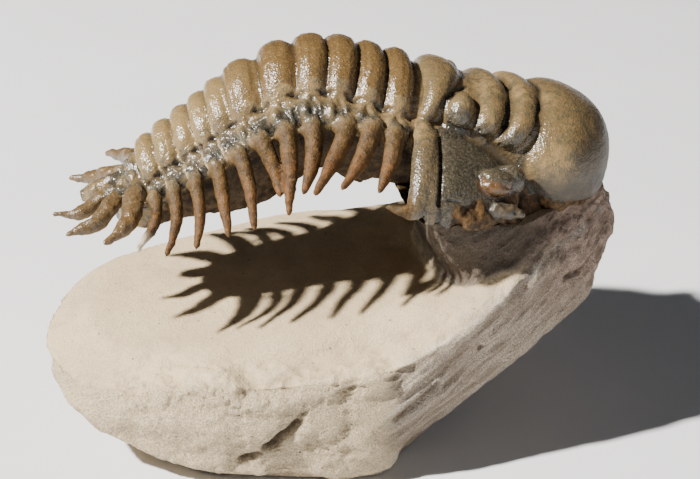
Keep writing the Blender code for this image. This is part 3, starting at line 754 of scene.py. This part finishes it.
def within_box(co):
    """Eases points that come near the sides of the solids' box back inside it."""
    low, high = (np.array(corner) / MM - MIDDLE for corner in solid_box)
    soft = 0.4
    over = np.maximum(co - (high - soft), 0.0)
    co = np.minimum(co, high - soft) + soft * np.tanh(over / soft)
    low = low + (0.0, 0.0, -soft)
    under = np.maximum(low + soft - co, 0.0)
    co = np.maximum(co, low + soft) - soft * np.tanh(under / soft)
    co[:, 2] = np.maximum(co[:, 2], 0.0)
    return co


def relaxed(data, co, rounds):
    """The points after that many rounds of moving each one halfway to its neighbours' mean."""
    a, b = read(data.edges, "vertices", 2, np.int64).T
    count = len(co)
    degree = np.bincount(a, minlength=count) + np.bincount(b, minlength=count)
    flat = co.copy()
    for _ in range(rounds):
        for i in range(3):
            total = np.bincount(a, flat[b, i], count) + np.bincount(b, flat[a, i], count)
            flat[:, i] = 0.5 * flat[:, i] + 0.5 * total / degree
    return flat


def press(data, co, out, depth):
    """Moves each point inward by its depth, within the box, and gives the new points."""
    co = within_box(co - out * depth[:, None])
    store(data, co)
    return co


def cavity(data, co, out, rounds):
    """How far each point lies below (above 0) or over its surroundings, in millimetres."""
    return ((relaxed(data, co, rounds) - co) * out).sum(axis=1)


class Rings:
    """Places of points in the frames of the thorax rings."""

    def __init__(self, co):
        steps = np.arange(-0.5, 15.01, 0.1)
        frames = [ring_frame(u) for u in steps]
        origins, heads, backs = (np.array([f[i] for f in frames]) for i in (0, 1, 3))
        gap = co @ heads.T - (origins * heads).sum(axis=1)
        rows = np.arange(len(co))
        best = np.abs(gap).argmin(axis=1)
        here = gap[rows, best]
        other = np.clip(np.where(here > 0.0, best - 1, best + 1), 0, len(steps) - 1)
        there = gap[rows, other]
        t = np.clip(here / np.where(np.abs(here - there) < 1e-9, 1.0, here - there), 0.0, 1.0)
        self.u = steps[best] + (steps[other] - steps[best]) * t
        origin = np.stack([np.interp(self.u, steps, origins[:, i]) for i in range(3)], axis=1)
        dorsal = np.stack([np.interp(self.u, steps, backs[:, i]) for i in range(3)], axis=1)
        dorsal /= np.linalg.norm(dorsal, axis=1)[:, None]
        self.y = np.abs(co[:, 1])
        self.n = ((co - origin) * dorsal).sum(axis=1)
        self.half = np.interp(self.u, steps, [axis_half(min(max(u, 1.0), 13.5)) for u in steps])
        spacing = np.interp(self.u, steps, [crest_spacing(u) for u in steps])
        beside = np.clip(self.y / self.half, 0.0, 1.0)
        lag = RING_SWEEP * np.clip((self.u - 1.0) / 2.0, 0.0, 1.0) * (np.arcsin(beside) / 1.69) ** 2
        self.number = np.clip(np.round(self.u - lag / spacing), 1, SEGMENTS)
        self.back = (self.u - self.number) * spacing - lag
        self.spacing = spacing
        roots = [s[0] for s in SPINES]
        numbers = np.arange(1, SEGMENTS + 1)
        self.root_y = np.interp(self.u, numbers, [r[1] for r in roots])
        placed = [ring_frame(k) for k in numbers]
        level = [(Vector(r) - p[0]).dot(p[3]) for r, p in zip(roots, placed)]
        self.root_n = np.interp(self.u, numbers, level)


def sculpt_body(data):
    """Furrows, wrinkles and grain of the thorax and the tail, and where each finish lies."""
    co, out = coordinates(data), normals(data)
    at = Rings(co)
    aside = at.y - at.half
    thorax = (at.u > 0.4) & (at.u < 11.7)
    tail = above(at.u, 11.3, 0.6)
    over = at.n > -3.2

    # Fills the narrow pits beside the rings.
    even = relaxed(data, co, 40)
    pit = 0.75 * smooth(((even - co) * out).sum(axis=1) / 0.3) * (at.u < 12.0)
    pit *= above(aside, -0.2, 0.5) * (1 - above(aside, 3.4, 0.6)) * over
    co = co + (even - co) * pit[:, None]
    store(data, co)
    out = normals(data)

    # Where the ribs run, and how far below them a point lies.
    t = np.clip(aside / (at.root_y - at.half), 0.0, 1.0)
    under = above(lerp(-1.5, at.root_n, t) - 1.1, at.n, 0.7)
    spine = above(at.y - at.root_y, -0.5, 1.6) * (1.0 - tail)
    mirrored = np.stack([co[:, 0], np.abs(co[:, 1]), co[:, 2]], axis=1)
    for root, middle, tip, width in TAIL_SPINES + (STUB,):
        near = distance_to(mirrored, (root, middle, tip))
        spine = np.maximum(spine, above(width * 1.5, near, 0.5) * tail * (at.y > 2.0) * 0.3)
    mirrored[:, 1] = at.y
    for route in SPINES[9:]:
        near = distance_to(mirrored, route)
        spine = np.maximum(spine, above(2.0, near, 0.5) * above(at.y - route[0][1], 0.3, 1.2))
    fill = under * (at.y < at.root_y + 0.4) * (spine < 0.5)
    fill = fill * np.clip(1.0 - 0.9 * smooth(out[:, 2] / 0.5), 0.0, 1.0)

    waist = bump(aside - 0.55, 0.24) * thorax * (at.n < 0.2) * (at.n > -3.4)
    depth = 0.3 * waist
    hollow = above(aside, 0.9, 0.5) * (1.0 - above(aside, 3.7, 0.8))
    cleft = np.abs(at.back + 0.25 * (aside - 1.5)) / segment_size(at.number)
    depth += 0.3 * bump(cleft, 0.26) * hollow * thorax * over
    front = np.stack([at.back, at.y, at.n + 7.0 * at.number], axis=1)
    wrinkled = grain(front / (0.45, 3.2, 3.2), 1.0, 3)
    wrinkled += 0.5 * grain(front / (0.22, 1.6, 1.6), 1.0, 4)
    ring = (at.y < at.half) * thorax * over
    depth += 0.055 * wrinkled * ring
    gap = bump(0.5 * at.spacing - np.abs(at.back), 0.2)
    gap = gap * (at.y < at.half + 0.9) * thorax * over
    depth += 0.12 * gap
    fold = 0.12 * (grain(co, 4.0, 8) > 0.0) * bump(at.back - 0.25 * at.spacing, 0.12)
    depth += fold * ring * (at.number <= 6)
    seam = bump(np.abs(at.back - 0.47 * at.spacing), 0.11)
    seam = seam * above(aside, -2.2, 0.8) * (1 - above(aside, 3.4, 0.6))
    seam *= above(at.number, 5.5, 1.5) * thorax * over
    depth -= 0.14 * seam
    depth += 0.04 * grain(co, 0.62, 11) + 0.035 * grain(co, 1.4, 12)
    depth += spine * (0.05 * grain(co, 0.5, 14) + 0.09 * grain(co, 1.7, 15))
    depth += fill * (0.35 * rough(co, 2.6, 4, 20))
    lumpy = np.maximum(tail, 0.6 * above(at.number, 6.5, 3.0)) * (1 - spine) * (1 - fill)
    depth += lumpy * 0.17 * rough(co, 1.2, 3, 24)
    depth += tail * (1 - fill) * 0.09 * rough(co, 0.8, 2, 25)
    co = press(data, co, out, depth)
    out = normals(data)
    # How deep each point lies below its surroundings; the hollows get painted shade from it.
    sunk = cavity(data, co, out, 26)

    rear = above(at.number, 5.0, 2.0)
    patchy = bump(aside - 3.2 + 0.7 * rear, 1.3 + 0.5 * rear) * thorax * over * (1 - fill)
    blotch = grain(co, 1.3, 30) + 0.55 * grain(co, 0.6, 31) + 0.55 + 0.5 * bump(cleft, 0.8)
    patchy *= smooth(blotch / 0.7)
    prong = tail * (spine > 0.05)
    blotch = smooth(0.5 + grain(co, 1.5, 33) * 2.0 + 0.6 * grain(co, 0.5, 34))
    patchy = np.maximum(patchy, 0.95 * tail * (1 - 0.75 * prong) * blotch)
    co = press(data, co, out, 0.1 * patchy * rough(co, 0.6, 2, 36))
    dull = spine * (1 - fill)
    make_dull(data, np.maximum(dull, fill))
    paint(
        data,
        spine=dull,
        patch=patchy * (1 - 0.8 * spine),
        fill=fill,
        crust=bump(distance_to(co, CRUST), 1.5) * smooth(0.5 + grain(co, 0.9, 40)),
        seam=seam,
        gold=np.maximum(ring * (1 - above(at.number, 5.5, 2)), prong),
        # painted sheen: the rear rings made lighter
        pale=ring * above(at.number, 5.0, 2.5),
        # painted shade: dark lines along the waist furrow and in the gaps between rings
        line=np.maximum(0.75 * waist, 0.6 * gap * (at.y < at.half - 0.6)),
        tip=above(at.y - at.root_y, 1.2, 4.0),
        # painted shade in the hollows, by their depth
        sunk=sunk / 0.42 - 0.1,
        proud=(-sunk / 0.28) * (1 - spine),
    )


def sculpt_head(data):
    """Furrows, pits, border and rough foot of the head, where each finish lies, and its painted
    shade.
    """
    co = coordinates(data)
    floor = seat_height(co[:, 0]) + 0.22 * grain(co * (1, 1, 0), 1.6, 50)
    co[:, 2] = np.maximum(co[:, 2], floor)
    store(data, co)
    out = normals(data)
    origin, f, s, n = (np.array(v) for v in head_frame())
    local = co - origin
    x, y, z = local @ f, np.abs(local @ s), local @ n
    mirrored = np.stack([x, y, z], axis=1)

    # Paths of the slot before the cheek and of the furrows, which get a painted shade line.
    line = bump(x - 3.15, 0.2) * (y > 8.4) * (y < 18.2) * (z > -7.6)
    depth = 0.6 * line
    for route, width, deep in HEAD_FURROWS:
        near = distance_to(mirrored, route)
        furrow = 0.6 * bump(near, width) + 0.4 * bump(near, 5.0 * width)
        depth = np.maximum(depth, deep * furrow)
        line = np.maximum(line, bump(near, width * 1.35))
    half = np.interp(x, [row[0] for row in GLABELLA], [row[1] for row in GLABELLA])
    glabella = above(half - y, -0.6, 0.8) * ((z > -6.0) & (x > 2.2))
    cheek = above(x, 3.0, 0.5) * (1 - glabella) * (z > -12.0)
    border = above(3.2, x, 0.5) * above(y, 8.0, 2.0)
    genal = above(0.9, x, 1.4) * above(y, 16.4, 0.8)
    rusty = smooth((-5.5 - z + 0.1 * (x - 8) + 0.5 * grain(co, 1.5, 64)) / 0.9)
    rusty *= above(x, 4.4, 1.4) * (1 - glabella)
    rusty = np.maximum(rusty, 0.8 * bump(distance_to(mirrored, RUSTY_STRIP), 0.9))
    lump = bump(from_ball(mirrored, *LUMP) - 0.9, 0.4)

    pits = np.maximum(0.0, grain(co, 0.62, 60) - 0.25)
    depth += cheek * (1 - rusty) * (0.16 * pits + 0.03 * grain(co, 1.6, 61))
    depth += 0.03 * grain(co, 0.55, 62) * glabella + 0.05 * grain(co, 2.6, 63) * glabella
    depth += rusty * (1 - lump) * 0.4 * rough(co, 1.9, 4, 65)
    depth += border * (0.05 * grain(co, 0.9, 68) + 0.07 * grain(co, 2.2, 69))
    depth += 0.18 * bump(distance_to(mirrored, LID_SEAM), 0.22)
    depth -= 0.25 * lump * rough(co, 1.0, 3, 66)
    depth += 0.35 * bump(x - 3.0, 1.1) * (x > 3.0) * cheek * above(y, 8.6, 1.0)
    depth += 0.4 * bump(distance_to(mirrored, NOTCH), 0.22)
    co = press(data, co, out, depth)
    # How deep each point lies below its surroundings; the hollows get painted shade from it.
    sunk = cavity(data, co, normals(data), 22)

    knob = bump(from_ball(mirrored, EYE[0], (1.5, 1.5, 1.0)), 2.2)
    knob = np.maximum(knob, 0.9 * (x > 8) * (y > 9.6) * (z < -1.0) * (x < 14.6))
    dark = np.maximum(cheek, knob * (1 - above(x, 13.6, 1.0)))
    foot = smooth((-z - 0.8 + 0.5 * grain(co, 1.3, 67)) / 6.0) * glabella
    # Painted shade: the lower part of the head and the front of the frontal lobe are darkened; foot
    # above is the real darker band at the glabella's foot.
    low = smooth((37.0 - co[:, 2] + 0.8 * rough(co, 2.0, 2, 67)) / 5.0) * (1 - rusty)
    nose = smooth((43.0 - co[:, 2] + rough(co, 3.0, 2, 70)) / 9.0) * above(x, 17.5, 5.5)
    make_dull(data, np.maximum(rusty * (1 - lump), genal))
    paint(
        data,
        # painted shade: dark lines along the slot and the furrows
        line=line,
        cheek=dark + 0.75 * border * above(y, 10.5, 3.0),
        rust=rusty * (1 - 0.7 * lump),
        patch=0.8 * lump * (z > -8.6) + bump(z + 8.0, 0.9) * glabella * above(x, 14, 2),
        # the darker band at the glabella's foot, together with painted shade on the lower and front
        # parts of the head
        foot=np.maximum(np.maximum(foot, low) * above(x, 13.5, 2.0), 0.85 * nose),
        spine=genal,
        eye=bump(from_ball(mirrored, *EYE) - 0.95, 0.3) * (y > 14.4) * (z < -3.5),
        # painted shade in the hollows, by their depth
        sunk=sunk / 0.28,
        proud=-sunk / 0.28,
    )


def sculpt_block(data):
    """Edges, cracks, striae, chips and sand of the block, and where each finish lies."""
    co = coordinates(data)
    co[:, 2] = np.minimum(co[:, 2], seat_height(co[:, 0]) + 0.3)
    rim = distance_to(co, EDGE)
    worn = 0.6 * bump(rim, 1.2) * (1.0 - 0.6 * (co[:, 0] > 8.0))
    worn = np.maximum(bump(rim, 3.2) * above(-9.0, co[:, 0], 12.0), worn)
    worn = np.maximum(worn, bump(distance_to(co, NECK_FOOT), 2.6))
    co = co + (relaxed(data, co, 110) - co) * worn[:, None]
    store(data, co)
    out = normals(data)

    # How far a point faces up, lies on the right or near side, or belongs to the neck under the
    # head, which gets painted shade.
    right = above(co[:, 0] * 0.75 - co[:, 1] * 0.35, 10.2, 2.5)
    up = smooth((out[:, 2] - 0.4 + 0.12 * rough(co, 1.4, 3, 96)) / 0.5)
    start = np.interp(co[:, 0], (10.0, 14.5, 22.3, 34.0), (18.4, 20.5, 24.4, 27.2))
    neck = above(co[:, 0], 9.6, 2.0) * above(co[:, 2], start, 2.2)
    neck *= 1 - 0.75 * up
    side = (1 - up) * right
    front = (1 - up) * (1 - right)
    near = above(0.6, out[:, 2], 0.35) * (out[:, 1] < 0.3)

    run = np.array(STREAK.normalized())
    lengthwise = (co @ run)[:, None]
    across = co - lengthwise * run
    streaks = grain(across / 0.75 + lengthwise / 9.0, 1.0, 70)
    streaks += 0.6 * grain(across / 0.34 + lengthwise / 5.0, 1.0, 71)
    streaks += 1.3 * (0.5 - np.abs(grain(across / 1.9 + lengthwise / 14.0, 1.0, 69)))
    nicks = np.maximum(0.0, rough(co, 2.1, 4, 74) - 0.1)
    depth = 0.42 * above(co[:, 0], -22.0, 9.0) * bump(rim, 1.8) * (1 - right) * nicks
    flakes = rough(co * (1, 1, 1.8), 5.0, 5, 92)
    flakes = np.round(flakes * 3.0) / 3.0 + 0.35 * flakes
    depth += 0.6 * flakes * (1 - right) * (1.2 * bump(rim, 3.2) + 0.3 * near + 0.1)
    depth += bump(rim, 1.3) * right * 0.75 * np.maximum(0.0, rough(co, 2.4, 3, 72))
    depth += side * (0.24 * streaks + 0.22 * rough(co, 4.5, 3, 73))
    depth += front * (0.34 * rough(co, 5.5, 4, 76) + 0.06 * grain(co, 0.8, 79))
    depth += up * (1 - neck) * (0.16 * rough(co, 8.0, 4, 80) + 0.03 * grain(co, 1.0, 82))
    depth += neck * 0.3 * rough(co * (1, 1, 1.6), 3.4, 4, 84)

    flat = (1, 0.4, 1)
    crevice = distance_to(co * flat, np.array(CREVICE) * flat)
    ragged = crevice + 0.4 * rough(co, 1.3, 4, 94)
    open_end = above(11.4, co[:, 2], 3.0)
    depth += (1.3 * open_end * bump(ragged, 0.42) + 0.7 * bump(ragged, 1.6)) * near
    depth += bump(from_ball(co, HOLLOW) + 0.5 * rough(co, 2.0, 3, 95), 2.8)
    shards = np.round(rough(co, 3.0, 4, 88) * 3.0) / 3.0
    shards = 0.1 + 0.5 * shards + 0.3 * rough(co, 1.6, 3, 89)
    broken = bump(from_ball(co, FRAGMENT, (1.25, 1.0, 1.0)), 4.2)
    depth -= broken * shards * above(crevice, 0.5, 0.7)
    for route in GROOVE_PAIR:
        depth += 0.34 * bump(distance_to(co, route), 0.26)
    lip = distance_to(co, LIP)
    depth += 0.5 * bump(lip, 0.36) - 0.2 * bump(lip - 0.8, 0.3) * (co[:, 2] > 9.2)
    depth += 1.1 * bump(distance_to(co, SLIT), 0.3)
    depth += 0.9 * bump(from_ball(co, PINHOLE), 0.4)
    depth[co[:, 2] < 0.3] = 0.0
    press(data, co, out, depth)
    co = coordinates(data)
    # How deep each point lies below its surroundings; the hollows get painted shade from it.
    sunk = cavity(data, co, normals(data), 18)
    chip = bump(rim, 0.5) * right * smooth(rough(co, 1.6, 3, 90) + 0.3)
    slit = bump(distance_to(co, SLIT), 0.45)
    paint(
        data,
        side=side,
        front=front,
        # painted shade, darker towards the bottom of the right side
        underside=side * above(13.0, co[:, 2], 8.0),
        # painted shade on the rock under the head
        neck=neck,
        end=above(co[:, 0], 20.0, 10.0) * above(co[:, 2], 15.0, 8.0),
        chip=chip + 0.35 * bump(lip - 0.9, 0.4),
        # painted shade inside the crevice's open end and the slit
        crack=np.maximum(open_end * bump(ragged, 0.6), slit),
        # painted shade in the hollows, half as strong on the right side
        sunk=sunk / 0.4 * (1 - 0.5 * side),
        proud=-sunk / 0.4 * (1 - neck),
    )


def add_body(mesh):
    """Thorax, rock fill and tail."""
    for i in range(SEGMENTS):
        add_segment(mesh, i + 1.0)
    add_fill(mesh)
    add_tail(mesh)


def add_block(mesh):
    """The block through its outlines, with a flat cut base."""
    foot = [(x, y, -2.0) for x, y, z in OUTLINES[0]]
    loops = (foot, *OUTLINES)
    add_loft(mesh, [[Vector(p) for p in curve_through(loop, 96, True)] for loop in loops])
    cut_flat(mesh, Vector(), Vector((0.0, 0.0, -1.0)))


def finished(name, build, skin, sculpt):
    """A piece made of the bodies that build adds, in one skin, with its fine relief."""
    mesh = bmesh.new()
    build(mesh)
    made = object_of(mesh, name)
    voxel, rounds, triangles = skin
    fuse(made, voxel, rounds)
    thin(made, triangles)
    sculpt(made.data)
    return made


class Finish:
    """A material built node by node on points measured in millimetres."""

    def __init__(self, name):
        self.material = bpy.data.materials.new(name)
        self.material.use_nodes = True
        self.tree = self.material.node_tree
        self.shader = self.tree.nodes["Principled BSDF"]
        self.point = self.scaled(self.add("TexCoord", {}, "Object"), 1.0 / MM)

    def add(self, kind, values, output=0, **settings):
        node = self.tree.nodes.new("ShaderNode" + kind)
        for name, value in settings.items():
            setattr(node, name, value)
        for name, value in values.items():
            socket = node.inputs[name]
            if isinstance(value, bpy.types.NodeSocket):
                self.tree.links.new(value, socket)
            else:
                socket.default_value = value
        return node.outputs[output]

    def scaled(self, vector, factor):
        return self.add("VectorMath", {0: vector, "Scale": factor}, operation="SCALE")

    def stretched(self, run, long):
        """The point with its part along run divided by long, for streaks along it."""
        dot = self.add("VectorMath", {0: self.point, 1: run}, 1, operation="DOT_PRODUCT")
        less = self.scaled(self.scaled(run, dot), 1.0 / long - 1.0)
        return self.add("VectorMath", {0: self.point, 1: less}, operation="ADD")

    def noise(self, scale, detail=3.0, roughness=0.55, point=None):
        values = {"Scale": scale, "Detail": detail, "Roughness": roughness}
        return self.add("TexNoise", {"Vector": point or self.point, **values})

    def cells(self, scale, feature="F1"):
        return self.add("TexVoronoi", {"Vector": self.point, "Scale": scale}, feature=feature)

    def mask(self, name):
        return self.add("Attribute", {}, 2, attribute_name=name)

    def spread(self, value, low, high, start=0.0, end=1.0):
        values = {"Value": value, "From Min": low, "From Max": high, "To Min": start, "To Max": end}
        return self.add("MapRange", values, interpolation_type="SMOOTHSTEP")

    def sum(self, a, b, operation="ADD"):
        return self.add("Math", {0: a, 1: b}, operation=operation)

    def times(self, a, b):
        return self.sum(a, b, "MULTIPLY")

    def mix(self, factor, a, b):
        """Colour a where the factor is 0 and b where it is 1."""
        a, b = ((*c, 1.0) if isinstance(c, tuple) else c for c in (a, b))
        return self.add("Mix", {0: factor, 6: a, 7: b}, 2, data_type="RGBA")

    def between(self, value, low, high, a, b, share=1.0):
        """Colour a up to the low value, turning by that share into b at the high one."""
        return self.mix(self.spread(value, low, high, 0.0, share), a, b)

    def tinted(self, colour, *rows):
        """The colour with other ones laid over it in turn: mask, share and colour of each."""
        for name, share, other in rows:
            colour = self.mix(self.times(self.mask(name), share), colour, other)
        return colour

    def relief(self, height, millimetres, below=None):
        values = {"Height": height, "Distance": millimetres * MM, "Strength": 1.0}
        if below is not None:
            values["Normal"] = below
        return self.add("Bump", values)

    def end(self, shine, colour, roughness, normal=None):
        self.shader.inputs["Specular IOR Level"].default_value = shine
        for name, value in (("Base Color", colour), ("Roughness", roughness), ("Normal", normal)):
            if value is not None:
                self.tree.links.new(value, self.shader.inputs[name])
        return self.material


def shell_finish(name, shine):
    """Ochre-brown varnished shell with its darker and redder regions, painted shade in its hollows,
    furrows and lower head, and a painted sheen on its rear rings.
    """
    m = Finish(name)
    broad = m.noise(0.16, 3.0)
    mottle = m.noise(0.9, 5.0, 0.65)
    fine = m.noise(3.2, 4.0, 0.7)
    grit = m.noise(7.0, 2.0, 0.6)
    colour = m.between(broad, 0.38, 0.64, (0.125, 0.085, 0.038), (0.235, 0.155, 0.068))
    colour = m.between(mottle, 0.42, 0.68, colour, (0.078, 0.066, 0.037))
    # pale lays a painted sheen, a lighter colour, on the rear rings
    colour = m.tinted(
        colour, ("gold", 0.88, (0.092, 0.053, 0.017)), ("pale", 0.75, (0.195, 0.134, 0.055))
    )
    colour = m.between(fine, 0.5, 0.72, colour, (0.27, 0.165, 0.07), 0.5)
    colour = m.between(grit, 0.54, 0.72, colour, (0.035, 0.021, 0.010), 0.6)

    dark = m.between(fine, 0.4, 0.66, (0.021, 0.020, 0.015), (0.075, 0.065, 0.046))
    brown = m.between(mottle, 0.36, 0.66, (0.030, 0.0165, 0.0055), (0.100, 0.053, 0.0165))
    red = m.between(mottle, 0.36, 0.66, (0.040, 0.0165, 0.005), (0.135, 0.053, 0.013))
    red = m.mix(m.mask("tip"), brown, red)
    red = m.between(fine, 0.5, 0.72, red, (0.20, 0.120, 0.045), 0.6)
    red = m.between(grit, 0.5, 0.66, red, (0.020, 0.012, 0.006), 0.7)
    blue = m.between(fine, 0.42, 0.64, (0.008, 0.011, 0.013), (0.060, 0.062, 0.050))
    crumbs = m.noise(1.3, 5.0, 0.7)
    rust = m.between(crumbs, 0.4, 0.62, (0.026, 0.016, 0.008), (0.110, 0.058, 0.021))
    grey = m.between(mottle, 0.4, 0.64, (0.018, 0.011, 0.006), (0.058, 0.038, 0.021))
    colour = m.tinted(
        colour,
        ("cheek", 0.92, dark),
        ("spine", 0.9, red),
        ("patch", 0.85, blue),
        # a darker band at the glabella's foot, together with painted shade on the lower and front
        # parts of the head
        ("foot", 0.9, (0.026, 0.021, 0.013)),
        ("rust", 1.0, rust),
        ("eye", 0.85, (0.088, 0.038, 0.010)),
        ("fill", 1.0, grey),
        ("seam", 1.0, (0.42, 0.31, 0.17)),
        ("crust", 1.0, (0.62, 0.54, 0.39)),
        ("proud", 0.16, (0.27, 0.18, 0.085)),
        # painted shade: hollows darkened by their depth
        ("sunk", 0.75, (0.014, 0.011, 0.008)),
        # painted shade: dark lines in the furrows and in the gaps between rings
        ("line", 0.8, (0.012, 0.010, 0.008)),
    )

    roughness = m.spread(fine, 0.35, 0.7, 0.17, 0.33)
    duller = (("spine", 0.36), ("foot", 0.3), ("rust", 0.35), ("fill", 0.5), ("crust", 0.5))
    for region, more in duller:
        roughness = m.sum(roughness, m.times(m.mask(region), more))
    normal = m.relief(m.noise(1.8, 1.0, 0.5), 0.05)
    normal = m.relief(m.cells(3.1, "SMOOTH_F1"), 0.03, normal)
    normal = m.relief(m.noise(5.0, 1.0, 0.5), 0.085, normal)
    return m.end(shine, colour, roughness, normal)


def block_finish():
    """Pale limestone: smooth and creamy on top, sandy in front, grey and striated on the right,
    painted lighter there, with painted shade under the head, low on the right, in hollows and in
    the crevice.
    """
    m = Finish("limestone")
    broad = m.noise(0.07, 4.0)
    mottle = m.noise(0.5, 5.0, 0.6)
    sand = m.noise(4.5, 3.0, 0.7)
    streaks = m.noise(1.1, 4.0, 0.6, m.stretched(tuple(STREAK.normalized()), 9.0))
    front, side = m.mask("front"), m.mask("side")
    sandy = m.between(sand, 0.38, 0.62, (0.55, 0.424, 0.268), (0.94, 0.760, 0.515))
    # The right side's grey and striae are the stone's own, painted lighter than the top as light on
    # that shaded side.
    grey = m.between(streaks, 0.36, 0.64, (0.40, 0.320, 0.250), (0.84, 0.705, 0.565))
    grey = m.between(sand, 0.4, 0.65, grey, (0.42, 0.33, 0.245), 0.5)
    # near-black colour of the rock under the head: painted shade
    tan = m.between(mottle, 0.35, 0.65, (0.014, 0.0105, 0.0075), (0.048, 0.033, 0.023))
    pink = m.between(mottle, 0.35, 0.65, (0.34, 0.235, 0.180), (0.70, 0.490, 0.385))
    colour = m.between(broad, 0.35, 0.65, (0.48, 0.368, 0.212), (0.59, 0.460, 0.270))
    colour = m.between(mottle, 0.45, 0.7, colour, (0.40, 0.305, 0.190), 0.5)
    colour = m.mix(m.sum(m.times(front, 0.52), 0.23), colour, sandy)
    colour = m.tinted(
        colour,
        ("side", 0.9, grey),
        # painted shade low on the right side
        ("underside", 0.4, (0.20, 0.158, 0.120)),
        # painted shade on the rock under the head
        ("neck", 0.9, tan),
        ("end", 0.85, pink),
        ("chip", 0.55, (0.64, 0.63, 0.60)),
        ("proud", 0.35, (0.70, 0.59, 0.44)),
        # painted shade: hollows darkened by their depth
        ("sunk", 0.5, (0.16, 0.115, 0.078)),
        # painted shade inside the crevice and the slit
        ("crack", 0.7, (0.06, 0.045, 0.033)),
    )
    dots = m.spread(m.cells(0.42), 0.05, 0.085, 1.0, 0.0)
    colour = m.mix(m.times(dots, 0.7), colour, (0.10, 0.075, 0.055))
    colour = m.between(m.noise(8.0, 2.0), 0.54, 0.7, colour, (0.28, 0.215, 0.15), 0.6)
    grit = m.spread(m.noise(6.5, 2.0, 0.6), 0.42, 0.6)
    colour = m.mix(m.times(m.times(side, grit), 0.55), colour, (0.12, 0.088, 0.064))

    roughness = m.spread(sand, 0.3, 0.7, 0.78, 0.95)
    rougher = m.sum(m.sum(front, side), 0.5)
    normal = m.relief(m.times(sand, rougher), 0.38)
    normal = m.relief(m.times(m.noise(1.4, 5.0, 0.65), rougher), 0.3, normal)
    normal = m.relief(m.times(streaks, side), 0.45, normal)
    return m.end(0.25, colour, roughness, normal)


def floor_finish():
    m = Finish("studio_floor")
    colour = m.between(m.noise(0.02, 2.0), 0.3, 0.7, (0.70, 0.71, 0.73), (0.73, 0.74, 0.76))
    roughness = m.spread(m.noise(0.5, 2.0), 0.3, 0.7, 0.75, 0.8)
    return m.end(0.2, colour, roughness)


def show(made, finishes, node):
    """Moves a finished piece into the frame of the solids, where it stands for its node."""
    made.data.transform(Matrix.Scale(MM, 4) @ Matrix.Translation(MIDDLE))
    made.data.shade_smooth()
    for finish in finishes:
        made.data.materials.append(finish)
    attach(made, "root")
    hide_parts(node)


# Studio, in metres: the floor, and which way the lights shine from their distance.
FLOOR_RADIUS = 2.5
FLOOR_GAP = 0.0002
OBJECT_MIDDLE = Vector((0.0, 0.0, 0.025))
SUN_WAY = (0.957, 0.300, -1.0)
FILL_WAY = (-0.62, 0.75, -0.16)
LIGHT_DISTANCE = 0.9


def add_floor():
    mesh = bmesh.new()
    bmesh.ops.create_circle(mesh, cap_ends=True, segments=96, radius=FLOOR_RADIUS)
    made = object_of(mesh, "floor")
    made.data.materials.append(floor_finish())
    made.location.z = -FLOOR_GAP


def add_area(name, direction, size, power, colour):
    """A square light that shines along a direction on the middle of the object."""
    light = bpy.data.lights.new(name, "AREA")
    light.shape = "SQUARE"
    light.size = size
    light.energy = power
    light.color = colour
    made = linked(name, light)
    way = Vector(direction).normalized()
    made.location = OBJECT_MIDDLE - way * LIGHT_DISTANCE
    made.rotation_mode = "QUATERNION"
    made.rotation_quaternion = way.to_track_quat("-Z", "Y")


def add_world():
    world = bpy.data.worlds.new("studio")
    world.use_nodes = True
    background = world.node_tree.nodes["Background"]
    background.inputs["Color"].default_value = (0.88, 0.91, 1.0, 1.0)
    background.inputs["Strength"].default_value = 0.045
    bpy.context.scene.world = world


# Photograph's frame, and the camera's view of it: where the aim point falls in the picture, and
# the scale there.
PICTURE = (700, 479)
AIM = (-0.05, -2.25, 22.5)
AIM_PIXEL = (330, 240)
PIXELS_PER_MM = 8.0
AZIMUTH, ELEVATION = -6.0, 24.0
FOCAL, SENSOR = 100.0, 36.0


def add_camera():
    data = bpy.data.cameras.new("camera")
    data.lens = FOCAL
    data.sensor_width = SENSOR
    data.clip_start = 0.01
    data.clip_end = 10.0
    made = linked("camera", data)
    a, e = math.radians(AZIMUTH), math.radians(ELEVATION)
    right = Vector((math.cos(a), math.sin(a), 0.0))
    ahead = Vector((-math.sin(a) * math.cos(e), math.cos(a) * math.cos(e), -math.sin(e)))
    up = right.cross(ahead)
    distance = FOCAL / SENSOR * PICTURE[0] / PIXELS_PER_MM
    aside = (AIM_PIXEL[0] - PICTURE[0] / 2) / PIXELS_PER_MM
    above = (PICTURE[1] / 2 - AIM_PIXEL[1]) / PIXELS_PER_MM
    spot = Vector(AIM) - ahead * distance - right * aside - up * above
    matrix = Matrix((right, up, -ahead)).transposed().to_4x4()
    matrix.translation = spot * MM
    made.matrix_world = matrix
    bpy.context.scene.camera = made


shell = (shell_finish("fossil_shell", 0.6), shell_finish("fossil_dull", 0.18))
body = finished("thorax_and_tail", add_body, BODY_SKIN, sculpt_body)
show(body, shell, "trilobite")
head = finished("head_shield", add_head, HEAD_SKIN, sculpt_head)
show(head, shell, "trilobite")
block = finished("limestone_block", add_block, BLOCK_SKIN, sculpt_block)
show(block, (block_finish(),), "matrix")
add_floor()
add_area("key", SUN_WAY, 0.04, 34.0, (1.0, 0.965, 0.91))
add_area("fill", FILL_WAY, 0.9, 2.4, (0.92, 0.95, 1.0))
add_world()
add_camera()
